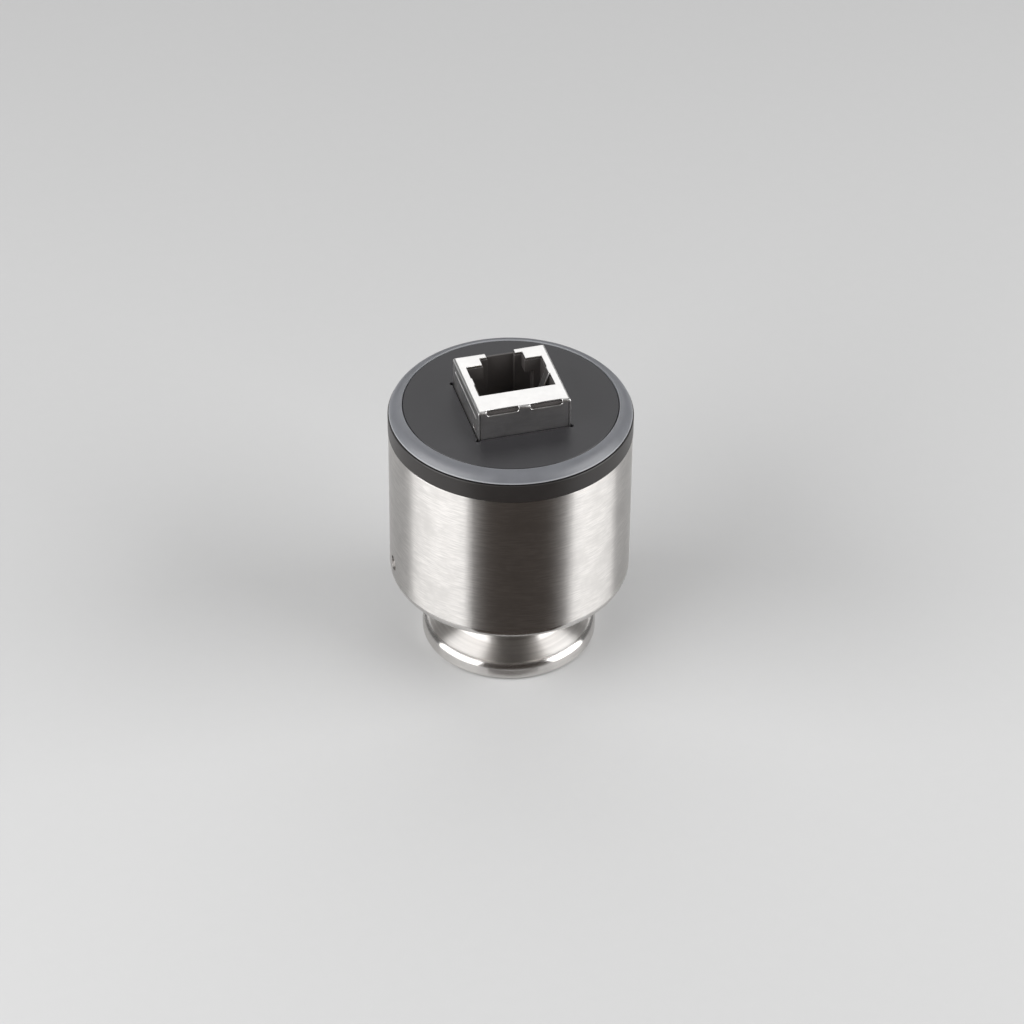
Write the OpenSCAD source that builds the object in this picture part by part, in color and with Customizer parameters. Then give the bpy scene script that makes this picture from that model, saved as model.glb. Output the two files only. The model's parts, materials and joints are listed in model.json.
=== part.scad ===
// Pirani vacuum gauge. A clamp flange with a heated wire cell is locked into a round steel housing
// that carries the electronics, and the cap holds a light ring and a modular jack.
// Millimetres, +Z up, origin at the centre of the flange's sealing face.

/* [Flange] */
// Outside diameter of the clamp flange
flange_d = 30; // [28:0.5:34]
// Height of the rim where the clamp cone would meet it
flange_rim_h = 3; // [2.6:0.1:3.8]
// Slope of the clamp cone in degrees
flange_cone_angle = 15; // [10:1:18]
// Rounding of the two edges of the rim
flange_rim_round = 0.8; // [0.4:0.1:1]
// Diameter of the seat for a centring ring
seat_d = 17.2; // [16.8:0.1:18]
// Depth of that seat
seat_depth = 3; // [2.6:0.1:3.4]
// Outside diameter of the neck
neck_d = 20; // [19.4:0.1:21.5]
// Rounding where the cone runs into the neck
neck_round = 1; // [0.5:0.1:1.5]
// Distance from the sealing face to the underside of the housing
neck_free_h = 13.25; // [12:0.25:16]
// Length of neck that the housing grips
neck_grip_h = 6.75; // [6.5:0.25:9]

/* [Measuring cell] */
// Diameter of the port behind the seat
port_d = 16; // [15.4:0.1:16.4]
// Diameter of the measuring chamber
chamber_d = 14; // [13.4:0.1:14.6]
// Thickness of the inlet screen
screen_t = 0.8; // [0.6:0.1:1.2]
// Diameter of a hole in the inlet screen
screen_hole_d = 1.3; // [0.8:0.1:1.5]
// Distance between neighbouring holes in the screen
screen_pitch = 2; // [1.8:0.1:2.1]
// Thickness of the snap ring under the screen
snap_ring_t = 0.8; // [0.6:0.1:1]
// Thickness of the feedthrough plate
plate_t = 2; // [1.6:0.1:2.6]
// Depth of the plate below the top of the neck
plate_recess = 0.9; // [0.5:0.1:1.4]
// Diameter of a feedthrough pin
pin_d = 1; // [0.8:0.05:1.1]
// Diameter of the circle of feedthrough pins
pin_circle_d = 8; // [7.4:0.1:8.6]
// Diameter of a glass bead round a pin
bead_d = 2.4; // [2:0.1:2.8]
// Outside diameter of the filament's coil
coil_d = 1; // [0.8:0.05:1.4]
// Diameter of the filament wire
wire_d = 0.16; // [0.12:0.01:0.2]
// Turns in the coil
coil_turns = 12; // [6:1:16]
// Diameter of an arm that holds the filament
arm_d = 0.5; // [0.4:0.05:0.7]
// Diameter of the temperature reference resistor
reference_d = 1.4; // [1:0.1:1.8]

/* [Housing] */
// Outside diameter of the steel housing
housing_d = 41.1; // [40:0.1:46]
// Height of the steel housing
housing_h = 29.55; // [29:0.25:34]
// Thickness of its wall
housing_wall = 1.2; // [0.8:0.1:1.5]
// Thickness of its floor
housing_floor = 1.5; // [1:0.1:2]
// Rounding of its lower edge
housing_round = 2; // [1:0.1:2.4]
// Rounding inside its lower corner
housing_inner_round = 0.8; // [0.4:0.1:1]
// Chamfer on its upper edge
housing_chamfer = 0.15; // [0.1:0.05:0.3]

/* [Clamp] */
// Height of the set screw above the housing's underside
set_screw_h = 4.8; // [4.6:0.1:5.2]
// Diameter of the set screw
set_screw_d = 2.5; // [2.2:0.1:2.8]
// Depth of the screw's end below the housing's surface
set_screw_sink = 0.45; // [0.2:0.05:0.8]
// Width across flats of the screw's hexagon socket
set_screw_key = 1.3; // [1.1:0.1:1.4]
// Depth of the groove in the neck that the screw bears on
grip_groove = 0.5; // [0.3:0.05:0.7]
// Height of the collar above the top of the neck
stop_h = 4; // [3.6:0.1:5]
// Overlap of the collar's stop on the top of the neck
stop_lap = 1.8; // [1.4:0.1:1.8]
// Cord diameter of the base seal
seal_cord_d = 1; // [0.8:0.1:1.2]

/* [Cap] */
// Height of the black band on top of the housing
band_h = 3.36; // [2.6:0.1:5]
// Distance that the band stands proud of the steel
band_proud = 0.07; // [0.05:0.01:0.2]
// Thickness of the band's wall
band_wall = 1.22; // [1:0.02:1.3]
// Wall of the lip that fits inside the housing
lip_wall = 1.1; // [0.9:0.1:1.3]
// Height of the light ring above the band
ring_h = 1.84; // [1.6:0.02:2.6]
// Width of the light ring's sloping face
ring_w = 2.3; // [2:0.05:2.5]
// Radius of the bulge of that face
ring_bulge_r = 2.8; // [2.4:0.1:5]
// Step of the light ring in from the band
ring_step = 0.12; // [0.05:0.01:0.2]
// Height of the shadow gap between ring and band
shadow_gap = 0.15; // [0.1:0.01:0.25]
// Depth of the shadow gap
shadow_depth = 0.6; // [0.4:0.05:0.7]
// Width of the light guide below the ring
guide_w = 1.5; // [1.2:0.1:2]
// Thickness of the cover disc
disc_t = 1.5; // [1.2:0.1:1.7]
// Depth of the cover disc below the ring's inner edge
disc_sink = 0.1; // [0:0.05:0.2]
// Gap between the cover disc and the ring
disc_gap = 0.1; // [0.05:0.05:0.2]
// Radius of the relief at each corner of the cut-out for the jack
cutout_relief_r = 0.35; // [0.25:0.05:0.5]

/* [Jack] */
// Width of the jack's shield
jack_w = 15.85; // [15.6:0.05:16.6]
// Depth of the jack's shield
jack_d = 16.3; // [16:0.05:16.8]
// Height of the jack above its board
jack_h = 14.5; // [14:0.1:16.5]
// Height of the jack's face above the cover disc
jack_rise = 5.45; // [4:0.05:6.5]
// Place of the jack's middle along Y
jack_y = -0.35; // [-0.6:0.05:0.3]
// Thickness of the shield's sheet
sheet_t = 0.3; // [0.2:0.02:0.4]
// Outside radius of the shield's bends
bend_r = 0.5; // [0.45:0.05:0.8]
// Width of the plug opening
opening_w = 13.1; // [12.6:0.05:13.2]
// Front edge of the plug opening, from the jack's middle
opening_front = -3.55; // [-3.7:0.05:-3.4]
// Back edge of the plug opening, from the jack's middle
opening_back = 4.87; // [4.6:0.05:5]
// Width of the latch opening's first step
latch_w = 7.5; // [7:0.05:8]
// Back edge of that step, from the jack's middle
latch_back = 6.8; // [6.5:0.05:7]
// Width of the latch slot that runs out through the back
slot_w = 5; // [4.5:0.05:5.5]
// Depth of that slot in the shield's back wall
slot_drop = 1.2; // [0.8:0.1:2]
// Depth of the plug cavity below the jack's face
cavity_depth = 12.5; // [11.5:0.1:12.8]
// Depth of the latch recess below the jack's face
latch_depth = 9; // [7:0.1:10]
// Thickness of the bezel that the plug's latch hooks behind
bezel_t = 2.8; // [2:0.1:3.5]
// Length of each slot in the front bend
fold_slot_l = 5.5; // [4.5:0.1:5.8]
// Height of the slots in the front bend
fold_slot_h = 0.95; // [0.8:0.05:1.2]
// Width of the tab between those slots
fold_tab_w = 1.95; // [1.5:0.05:2.4]
// Width of a grounding finger
finger_w = 1.9; // [1.4:0.1:2.4]
// Middle of a grounding finger along Y, from the jack's middle
finger_y = 0.75; // [0.2:0.05:1.2]
// Length of a grounding finger
finger_h = 4.5; // [3:0.1:5]
// Distance that a grounding finger leans in
finger_lean = 1.4; // [0.8:0.1:1.6]
// Distance between neighbouring contact wires
contact_pitch = 1.02; // [1:0.01:1.1]
// Diameter of a contact wire
contact_d = 0.4; // [0.3:0.02:0.46]

/* [Boards] */
// Thickness of both boards
board_t = 1.6; // [1.2:0.1:2]
// Gap between a board and the housing
board_gap = 0.45; // [0.3:0.05:0.6]
// Distance from a board's edge to the middle of a spacer
spacer_edge = 5.3; // [4.6:0.1:5.6]
// Width across flats of a spacer
spacer_flats = 4.5; // [4:0.1:5]
// Thread diameter of the spacers and board screws
board_screw_d = 2.5; // [2:0.1:2.6]
// Distance from a board's edge to the middle of the link header
link_edge = 7.4; // [6.9:0.1:7.5]
// Distance between neighbouring link pins
link_pitch = 2.54; // [2.4:0.02:2.6]
// Side of a square link pin
link_pin_w = 0.64; // [0.5:0.02:0.7]
// Side of the controller chip
controller_w = 7; // [5:0.5:8]
// Diameter of a supply capacitor
capacitor_d = 5; // [4:0.25:6]
// Height of a supply capacitor
capacitor_h = 5.8; // [4:0.2:6.5]
// Number of status lights under the light ring
light_count = 12; // [6:1:16]

/* [Hidden] */
$fn = 96;

// Clearances, as a gap on each side
slide_fit = 0.05;
free_fit = 0.1;
wide_fit = 0.2;
// Overrun of a cut past the face it opens
cut = 1;
// Run of one shape into another of the same piece
lap = 0.5;
// Facets of small round holes
hole_facets = 32;
// Hexagons, and their size across corners from that across flats
hex_sides = 6;
function hex_corners(flats) = flats / cos(180 / hex_sides);

// Flange and neck
flange_r = flange_d / 2;
seat_r = seat_d / 2;
port_r = port_d / 2;
chamber_r = chamber_d / 2;
neck_r = neck_d / 2;
housing_z = neck_free_h;
floor_z = housing_z + housing_floor;
neck_top_z = floor_z + neck_grip_h;
port_lip = 0.6;
port_top_z = seat_depth + port_lip + snap_ring_t + screen_t;
snap_groove = 0.4;
snap_mouth = 3;

// Feedthrough
plate_ledge = 1;
plate_r = chamber_r + plate_ledge;
plate_top_z = neck_top_z - plate_recess;
plate_z = plate_top_z - plate_t;
pin_r = pin_d / 2;
bead_r = bead_d / 2;
pin_angles = [45, 135, 225, 315];
long_pin = 0;
short_pin = 1;

// Filament
arm_r = arm_d / 2;
arm_drop = 2.2;
arm_rise = 2.6;
arm_high_z = plate_z - arm_drop;
arm_low_z = port_top_z + arm_rise;
coil_r = (coil_d - wire_d) / 2;
tail_h = 0.6;
reference_r = reference_d / 2;
reference_drop = 2.8;
reference_cap_l = 0.8;
reference_z = plate_z - reference_drop;

// Housing
housing_r = housing_d / 2;
inner_r = housing_r - housing_wall;
housing_top_z = housing_z + housing_h;

// Clamp collar and set screw
collar_r = inner_r - slide_fit;
collar_chamfer = housing_inner_round + wide_fit;
collar_top_z = neck_top_z + stop_h;
stop_r = neck_r - stop_lap;
set_screw_z = housing_z + set_screw_h;
set_screw_r = set_screw_d / 2;
set_screw_point_share = 0.6;
set_screw_point_r = set_screw_r * set_screw_point_share;
set_screw_point_h = 0.8;
set_screw_key_depth = 1.6;
groove_r = neck_r - grip_groove;
groove_room = 0.3;
groove_half_h = set_screw_r + groove_room;
seal_cord_r = seal_cord_d / 2;
seal_rise = 1.1;
seal_z = floor_z + seal_rise;

// Cap
band_r = housing_r + band_proud;
band_top_z = housing_top_z + band_h;
band_inner_r = band_r - band_wall;
band_ledge = 1.2;
band_ledge_z = housing_top_z + band_ledge;
lip_r = inner_r - slide_fit;
lip_inner_r = lip_r - lip_wall;
ring_r = band_r - ring_step;
ring_inner_r = ring_r - ring_w;
ring_top_z = band_top_z + ring_h;
ring_foot_z = band_top_z + shadow_gap;
plug_r = band_inner_r - slide_fit;
plug_z = band_ledge_z + free_fit;
guide_r = lip_inner_r - slide_fit;
guide_inner_r = guide_r - guide_w;
disc_top_z = ring_top_z - disc_sink;
disc_z = disc_top_z - disc_t;
disc_r = ring_inner_r - disc_gap;

// Boards
jack_top_z = disc_top_z + jack_rise;
jack_board_top_z = jack_top_z - jack_h;
jack_board_z = jack_board_top_z - board_t;
sensor_board_z = collar_top_z;
sensor_board_top_z = sensor_board_z + board_t;
board_r = inner_r - board_gap;
spacer_angles = [20, 160, 270];
spacer_circle_r = board_r - spacer_edge;
link_y = board_r - link_edge;
board_screw_r = board_screw_d / 2;
stud_l = 4;
stud_room = 0.4;
screw_l = 4;
screw_head_share = 1.8;
screw_head_r = board_screw_r * screw_head_share;
screw_head_h = 1.5;
screw_key = 1.5;
screw_key_depth = 0.8;
pin_tail = 0.6;
link_columns = 5;
link_rows = 2;
link_header_h = 2.5;
light_size = [0.8, 1.6, 0.7];
light_gap = 0.5;
light_circle_r = (guide_r + guide_inner_r) / 2;
guide_z = jack_board_top_z + light_size.z + light_gap;
lip_z = jack_board_top_z + light_size.z + light_gap / 2;

// Socket under the sensor board
socket_gap = 1;
socket_r = stop_r - socket_gap;
socket_h = 3.2;
socket_roof = 0.8;
socket_z = sensor_board_z - socket_h;
contact_wall = 0.3;
contact_fit = 0.03;
pin_top_z = sensor_board_z - socket_roof - wide_fit;
tail_r = 0.35;

// Components on the boards: middle of each on its board
controller_at = [-9, -3.5];
controller_h = 1;
amplifier_at = [8.5, -2];
amplifier_size = [5, 4, 1.5];
resistor_at = [7.5, -9];
resistor_size = [2, 1.25, 0.5];
resistor_pitch = 1.9;
resistor_count = 4;
capacitor_places = [[-11, -5.5], [11, -5.5]];
capacitor_foot_h = 0.8;
capacitor_foot_lip = 0.15;
regulator_at = [-6.5, -10.5];
regulator_size = [6.5, 3.5, 1.6];

// Jack
opening_half = opening_w / 2;
latch_half = latch_w / 2;
hook_margin = 1.4;
hook_half = opening_half - hook_margin;
slot_half = slot_w / 2;
slot_back_wall = 0.4;
insert_inset = 0.15;
insert_w = jack_w - 2 * (sheet_t + free_fit);
insert_d = jack_d - 2 * (sheet_t + free_fit);
insert_top_z = jack_top_z - sheet_t - free_fit;
cavity_z = jack_top_z - cavity_depth;
latch_z = jack_top_z - latch_depth;
seam_w = 0.12;
rib_h = 0.5;
rib_depth = 0.1;
rib_drop = 1.6;
rib_end = 1.4;
fold_slot_round = fold_slot_h / 2;
window_size = [1.5, 1.1];
window_from_front = 1.6;
window_drop = 4;
bump_margin = 0.15;
leg_w = 1.6;
leg_tail = 0.8;
peg_r = 1.6;
peg_x = 5.7;
peg_y = 3;
peg_tail = 0.5;
finger_relief = 0.3;
contact_count = 8;
contact_r = contact_d / 2;
contact_slot_w = contact_d + 2 * slide_fit;
contact_slot_d = contact_d + wide_fit;
contact_front = opening_front + insert_inset;
contact_y = contact_front - contact_slot_d + contact_r + slide_fit;
contact_elbow_drop = 3;
contact_elbow_z = jack_top_z - contact_elbow_drop;
contact_reach = 3;
contact_end_y = contact_y + contact_reach;
contact_end_drop = 8.6;
contact_end_z = jack_top_z - contact_end_drop;

// Shared shapes

// What is cut from a profile to round the convex corner at a point, with dir pointing into the body
module corner_cut(at, r, dir) {
    difference() {
        translate([at.x - (dir.x > 0 ? cut : r), at.y - (dir.y > 0 ? cut : r)]) square(r + cut);
        translate(at + dir * r) circle(r);
    }
}

// Round bar between two points
module rod(from, to, r) {
    run = to - from;
    turn = [0, acos(run.z / norm(run)), atan2(run.y, run.x)];
    translate(from) rotate(turn) cylinder(h = norm(run), r = r);
}

// Ring with straight walls
module tube(z, h, outer_r, inner_r) {
    translate([0, 0, z]) difference() {
        cylinder(h = h, r = outer_r);
        translate([0, 0, -cut]) cylinder(h = h + 2 * cut, r = inner_r);
    }
}

// Children repeated at the feedthrough pins
module at_pins() {
    for (a = pin_angles) rotate(a) translate([pin_circle_d / 2, 0, 0]) children();
}

// Children repeated at the spacers
module at_spacers() {
    for (a = spacer_angles) rotate(a) translate([spacer_circle_r, 0, 0]) children();
}

// Place of one of a number of things in a row about its middle
function row_place(i, count, pitch) = (i - (count - 1) / 2) * pitch;

// Children repeated at the link pins
module at_link_pins() {
    for (i = [0 : link_columns - 1], j = [0 : link_rows - 1])
        translate([row_place(i, link_columns, link_pitch), link_y + row_place(j, link_rows, link_pitch), 0])
            children();
}

// Children repeated at the contact wires
module at_contacts() {
    for (i = [0 : contact_count - 1])
        translate([row_place(i, contact_count, contact_pitch), jack_y, 0]) children();
}

// Children and their mirror image across the middle plane
module both_sides() {
    children();
    mirror([1, 0, 0]) children();
}

// Block standing on a height, centred on a place
module chip(at, z, size) {
    translate([at.x - size.x / 2, at.y - size.y / 2, z]) cube(size);
}

// Measuring cell

// Half section of the flange's outside: rounded rim, clamp cone, and a fillet up into the neck
module flange_outside() {
    a = flange_cone_angle;
    shoulder = [flange_r - flange_rim_round, flange_rim_h + flange_rim_round * (tan(a) - 1 / cos(a))];
    fillet_x = neck_r + neck_round;
    fillet = [fillet_x, flange_rim_h + (flange_r - fillet_x) * tan(a) + neck_round / cos(a)];
    slope = [sin(a), cos(a)];
    difference() {
        union() {
            polygon([
                [0, 0], [flange_r, 0], [flange_r, shoulder.y], shoulder + flange_rim_round * slope,
                fillet - neck_round * slope, [neck_r, fillet.y], [neck_r, neck_top_z], [0, neck_top_z]
            ]);
            translate(shoulder) circle(flange_rim_round);
        }
        translate(fillet) circle(neck_round);
        corner_cut([flange_r, 0], flange_rim_round, [-1, 1]);
    }
}

module flange_tube() {
    color("silver") rotate_extrude() difference() {
        flange_outside();
        translate([-cut, -cut]) square([seat_r + cut, seat_depth + cut]);
        translate([-cut, 0]) square([port_r + cut, port_top_z]);
        translate([-cut, port_top_z - screen_t - snap_ring_t - slide_fit])
            square([port_r + snap_groove + cut, snap_ring_t + slide_fit]);
        translate([-cut, 0]) square([chamber_r + cut, neck_top_z + cut]);
        translate([-cut, plate_z]) square([plate_r + cut, neck_top_z]);
        translate([groove_r, set_screw_z - groove_half_h]) square([neck_r, 2 * groove_half_h]);
    }
}

module inlet_screen() {
    rings = floor((chamber_r - screen_hole_d / 2) / screen_pitch);
    color("gainsboro") difference() {
        translate([0, 0, port_top_z - screen_t]) cylinder(h = screen_t, r = port_r - slide_fit);
        for (i = [0 : rings], k = [0 : max(hex_sides * i, 1) - 1])
            rotate(k * 360 / max(hex_sides * i, 1)) translate([i * screen_pitch, 0, 0])
                cylinder(h = port_top_z + cut, d = screen_hole_d, $fn = hole_facets);
    }
}

module snap_ring() {
    ring_z = port_top_z - screen_t - snap_ring_t;
    color("dimgray") difference() {
        tube(ring_z, snap_ring_t, port_r + snap_groove - slide_fit, port_r - snap_ring_t);
        translate([0, -snap_mouth / 2, ring_z - cut]) cube([port_d, snap_mouth, snap_ring_t + 2 * cut]);
    }
}

module feedthrough_plate() {
    color("darkgray") difference() {
        translate([0, 0, plate_z]) cylinder(h = plate_t, r = plate_r - slide_fit);
        at_pins() translate([0, 0, plate_z - cut]) cylinder(h = plate_t + 2 * cut, r = bead_r);
    }
}

module glass_beads() {
    color("darkseagreen") at_pins() tube(plate_z, plate_t, bead_r, pin_r);
}

// Lower end of each pin: two carry the filament, two carry the reference resistor
function pin_low_z(i) =
    i == long_pin ? arm_low_z - arm_r :
    i == short_pin ? arm_high_z - arm_r :
    reference_z - reference_r;

module feedthrough_pins() {
    color("goldenrod") for (i = [0 : len(pin_angles) - 1])
        rotate(pin_angles[i]) translate([pin_circle_d / 2, 0, pin_low_z(i)])
            cylinder(h = pin_top_z - pin_low_z(i), r = pin_r);
}

// Arm from the side of a pin to a small eye on the axis
module filament_arm(angle, z) {
    eye_r = arm_r + wire_d / 2;
    rotate(angle) difference() {
        union() {
            translate([0, 0, z]) rotate([0, 90, 0]) cylinder(h = pin_circle_d / 2, r = arm_r);
            translate([0, 0, z - arm_r]) cylinder(h = arm_d, r = eye_r);
        }
        translate([0, 0, z - arm_d]) cylinder(h = 2 * arm_d, d = wire_d + 2 * contact_fit, $fn = hole_facets);
        translate([pin_circle_d / 2, 0, z - arm_d]) cylinder(h = 2 * arm_d, r = pin_r);
    }
}

module filament_arms() {
    color("lightsteelblue") {
        filament_arm(pin_angles[long_pin], arm_low_z);
        filament_arm(pin_angles[short_pin], arm_high_z);
    }
}

// Point on the filament: straight tails on the axis, a coil between, s running from 0 to 1
coil_low_z = arm_low_z + tail_h;
coil_high_z = arm_high_z - tail_h;
turn_steps = 12;
coil_steps = turn_steps * coil_turns;
wire_sides = 6;
function coil_reach(s) = coil_r * min(1, s * coil_turns, (1 - s) * coil_turns);
function coil_point(s) =
    let (a = 360 * coil_turns * s, r = coil_reach(s))
    [r * cos(a), r * sin(a), coil_low_z + s * (coil_high_z - coil_low_z)];
filament_path = concat(
    [[0, 0, arm_low_z]],
    [for (i = [0 : coil_steps]) coil_point(i / coil_steps)],
    [[0, 0, arm_high_z]]
);

// Ring of points round a path, square to it, turned from a direction that the path never takes
ring_tilt = 15;
ring_start = [0, sin(ring_tilt), cos(ring_tilt)];
function unit(v) = v / norm(v);
function path_way(path, i) = unit(path[min(i + 1, len(path) - 1)] - path[max(i - 1, 0)]);
function path_ring(path, i, r, sides) =
    let (
        way = path_way(path, i),
        side = unit(cross(way, ring_start)),
        up = cross(side, way)
    )
    [for (k = [0 : sides - 1])
        path[i] + r * (cos(360 * k / sides) * side + sin(360 * k / sides) * up)];

module swept_wire(path, r, sides) {
    points = [for (i = [0 : len(path) - 1], p = path_ring(path, i, r, sides)) p];
    last = (len(path) - 1) * sides;
    walls = [
        for (i = [0 : len(path) - 2], k = [0 : sides - 1])
            let (near = i * sides, far = near + sides, next = (k + 1) % sides)
            [near + k, near + next, far + next, far + k]
    ];
    ends = [[for (k = [0 : sides - 1]) sides - 1 - k], [for (k = [0 : sides - 1]) last + k]];
    polyhedron(points, concat(walls, ends));
}

module filament() {
    color("slategray") swept_wire(filament_path, wire_d / 2, wire_sides);
}

module reference_resistor() {
    y = pin_circle_d / 2 * sin(pin_angles[2]);
    half_l = pin_circle_d / 2 * cos(pin_angles[3]) - pin_r;
    color("steelblue") translate([0, y, reference_z]) rotate([0, 90, 0]) {
        translate([0, 0, -half_l]) cylinder(h = reference_cap_l, r = reference_r);
        translate([0, 0, -half_l]) cylinder(h = 2 * half_l, r = reference_r - free_fit);
        translate([0, 0, half_l - reference_cap_l]) cylinder(h = reference_cap_l, r = reference_r);
    }
}

// Housing and clamp

module base_seal() {
    color("black") rotate_extrude()
        translate([neck_r + seal_cord_r + contact_fit, seal_z]) circle(seal_cord_r);
}

module clamp_collar() {
    groove_h = seal_cord_d + 2 * free_fit;
    color("lightgray") difference() {
        rotate_extrude() difference() {
            translate([0, floor_z]) square([collar_r, collar_top_z - floor_z]);
            polygon([
                [collar_r - collar_chamfer, floor_z - cut], [collar_r - collar_chamfer, floor_z],
                [collar_r, floor_z + collar_chamfer], [collar_r + cut, floor_z + collar_chamfer],
                [collar_r + cut, floor_z - cut]
            ]);
            translate([-cut, floor_z - cut]) square([neck_r + slide_fit + cut, neck_grip_h + cut]);
            translate([-cut, seal_z - groove_h / 2])
                square([neck_r + seal_cord_d + free_fit + cut, groove_h]);
            translate([-cut, floor_z]) square([stop_r + cut, collar_top_z]);
        }
        translate([0, 0, set_screw_z]) rotate([0, -90, 0])
            cylinder(h = housing_r, r = set_screw_r + contact_fit);
        at_spacers() translate([0, 0, collar_top_z - stud_l - stud_room])
            cylinder(h = stud_l + stud_room + cut, r = board_screw_r + slide_fit);
    }
}

module set_screw() {
    tip = groove_r + contact_fit;
    end = housing_r - set_screw_sink;
    color("dimgray") translate([0, 0, set_screw_z]) rotate([0, -90, 0]) difference() {
        union() {
            translate([0, 0, tip]) cylinder(h = set_screw_point_h + lap, r = set_screw_point_r);
            translate([0, 0, tip + set_screw_point_h])
                cylinder(h = end - tip - set_screw_point_h, r = set_screw_r);
        }
        translate([0, 0, end - set_screw_key_depth])
            cylinder(h = set_screw_key_depth + cut, d = hex_corners(set_screw_key), $fn = hex_sides);
    }
}

module housing_cup() {
    color("silver") difference() {
        rotate_extrude() difference() {
            translate([0, housing_z]) square([housing_r, housing_h]);
            corner_cut([housing_r, housing_z], housing_round, [-1, 1]);
            polygon([
                [housing_r - housing_chamfer, housing_top_z], [housing_r, housing_top_z - housing_chamfer],
                [housing_r + cut, housing_top_z - housing_chamfer], [housing_r + cut, housing_top_z + cut],
                [housing_r - housing_chamfer, housing_top_z + cut]
            ]);
            difference() {
                translate([-cut, floor_z]) square([inner_r + cut, housing_h]);
                corner_cut([inner_r, floor_z], housing_inner_round, [-1, 1]);
            }
            translate([-cut, housing_z - cut]) square([neck_r + free_fit + cut, housing_h]);
        }
        translate([0, 0, set_screw_z]) rotate([0, -90, 0])
            cylinder(h = housing_d, r = set_screw_r + free_fit);
    }
}

// Electronics

module sensor_socket() {
    color("black") difference() {
        translate([0, 0, socket_z]) cylinder(h = socket_h, r = socket_r);
        at_pins() {
            translate([0, 0, socket_z - cut])
                cylinder(h = socket_h - socket_roof + cut, r = pin_r + contact_fit + contact_wall);
            translate([0, 0, socket_z]) cylinder(h = socket_h + cut, r = tail_r);
        }
    }
}

module socket_contacts() {
    sleeve_h = socket_h - socket_roof;
    color("gold") at_pins() difference() {
        union() {
            translate([0, 0, socket_z]) cylinder(h = sleeve_h, r = pin_r + contact_fit + contact_wall);
            translate([0, 0, socket_z]) cylinder(h = socket_h + board_t + pin_tail, r = tail_r);
        }
        translate([0, 0, socket_z - cut]) cylinder(h = sleeve_h - free_fit + cut, r = pin_r + contact_fit);
    }
}

// Round board with holes for the spacers and the link pins
module board(z) {
    difference() {
        translate([0, 0, z]) cylinder(h = board_t, r = board_r);
        at_spacers() translate([0, 0, z - cut])
            cylinder(h = board_t + 2 * cut, r = board_screw_r + free_fit);
        at_link_pins() translate([0, 0, z - cut])
            cylinder(h = board_t + 2 * cut, r = link_pin_w / sqrt(2) + slide_fit, $fn = hole_facets);
    }
}

module sensor_board() {
    color("darkgreen") difference() {
        board(sensor_board_z);
        at_pins() translate([0, 0, sensor_board_z - cut])
            cylinder(h = board_t + 2 * cut, r = tail_r + slide_fit, $fn = hole_facets);
    }
}

module controller_chip() {
    color("dimgray") chip(controller_at, sensor_board_top_z, [controller_w, controller_w, controller_h]);
}

module bridge_amplifier() {
    color("dimgray") chip(amplifier_at, sensor_board_top_z, amplifier_size);
}

module bridge_resistors() {
    color("black") for (i = [0 : resistor_count - 1])
        chip(resistor_at + [0, row_place(i, resistor_count, resistor_pitch)],
            sensor_board_top_z, resistor_size);
}

module link_header() {
    size = [link_columns * link_pitch, link_rows * link_pitch, link_header_h];
    color("black") difference() {
        chip([0, link_y], sensor_board_top_z, size);
        at_link_pins()
            chip([0, 0], sensor_board_top_z - cut, [link_pin_w, link_pin_w, link_header_h + 2 * cut]);
    }
}

module link_pins() {
    color("gold") at_link_pins()
        chip([0, 0], sensor_board_z, [link_pin_w, link_pin_w, jack_board_top_z + pin_tail - sensor_board_z]);
}

module board_spacers() {
    spacer_h = jack_board_z - sensor_board_top_z;
    color("goldenrod") at_spacers() difference() {
        union() {
            translate([0, 0, sensor_board_top_z])
                cylinder(h = spacer_h, d = hex_corners(spacer_flats), $fn = hex_sides);
            translate([0, 0, sensor_board_z - stud_l])
                cylinder(h = stud_l + board_t + lap, r = board_screw_r);
        }
        translate([0, 0, jack_board_z - screw_l - stud_room])
            cylinder(h = screw_l + stud_room + cut, r = board_screw_r + slide_fit);
    }
}

module board_screws() {
    color("silver") at_spacers() translate([0, 0, jack_board_z]) difference() {
        union() {
            translate([0, 0, -screw_l]) cylinder(h = screw_l + board_t + lap, r = board_screw_r);
            translate([0, 0, board_t]) cylinder(h = screw_head_h, r = screw_head_r);
        }
        translate([0, 0, board_t + screw_head_h - screw_key_depth])
            cylinder(h = screw_key_depth + cut, d = hex_corners(screw_key), $fn = hex_sides);
    }
}

module jack_board() {
    color("darkgreen") difference() {
        board(jack_board_z);
        at_contacts() translate([0, contact_y, jack_board_z - cut])
            cylinder(h = board_t + 2 * cut, r = contact_r + slide_fit, $fn = hole_facets);
        translate([0, jack_y, 0]) both_sides() {
            translate([peg_x, peg_y, jack_board_z - cut])
                cylinder(h = board_t + 2 * cut, r = peg_r + free_fit);
            translate([jack_w / 2 - sheet_t - free_fit, -leg_w / 2 - free_fit, jack_board_z - cut])
                cube([sheet_t + 2 * free_fit, leg_w + 2 * free_fit, board_t + 2 * cut]);
        }
    }
}

module supply_capacitors() {
    foot_w = capacitor_d + 2 * capacitor_foot_lip;
    color("silver") for (at = capacitor_places) {
        translate([at.x, at.y, jack_board_z - capacitor_h]) cylinder(h = capacitor_h, d = capacitor_d);
        chip(at, jack_board_z - capacitor_foot_h, [foot_w, foot_w, capacitor_foot_h]);
    }
}

module supply_regulator() {
    color("dimgray") chip(regulator_at, sensor_board_top_z, regulator_size);
}

module status_lights() {
    color("white") for (i = [0 : light_count - 1])
        rotate((i + 0.5) * 360 / light_count) chip([light_circle_r, 0], jack_board_top_z, light_size);
}

// Jack

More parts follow.
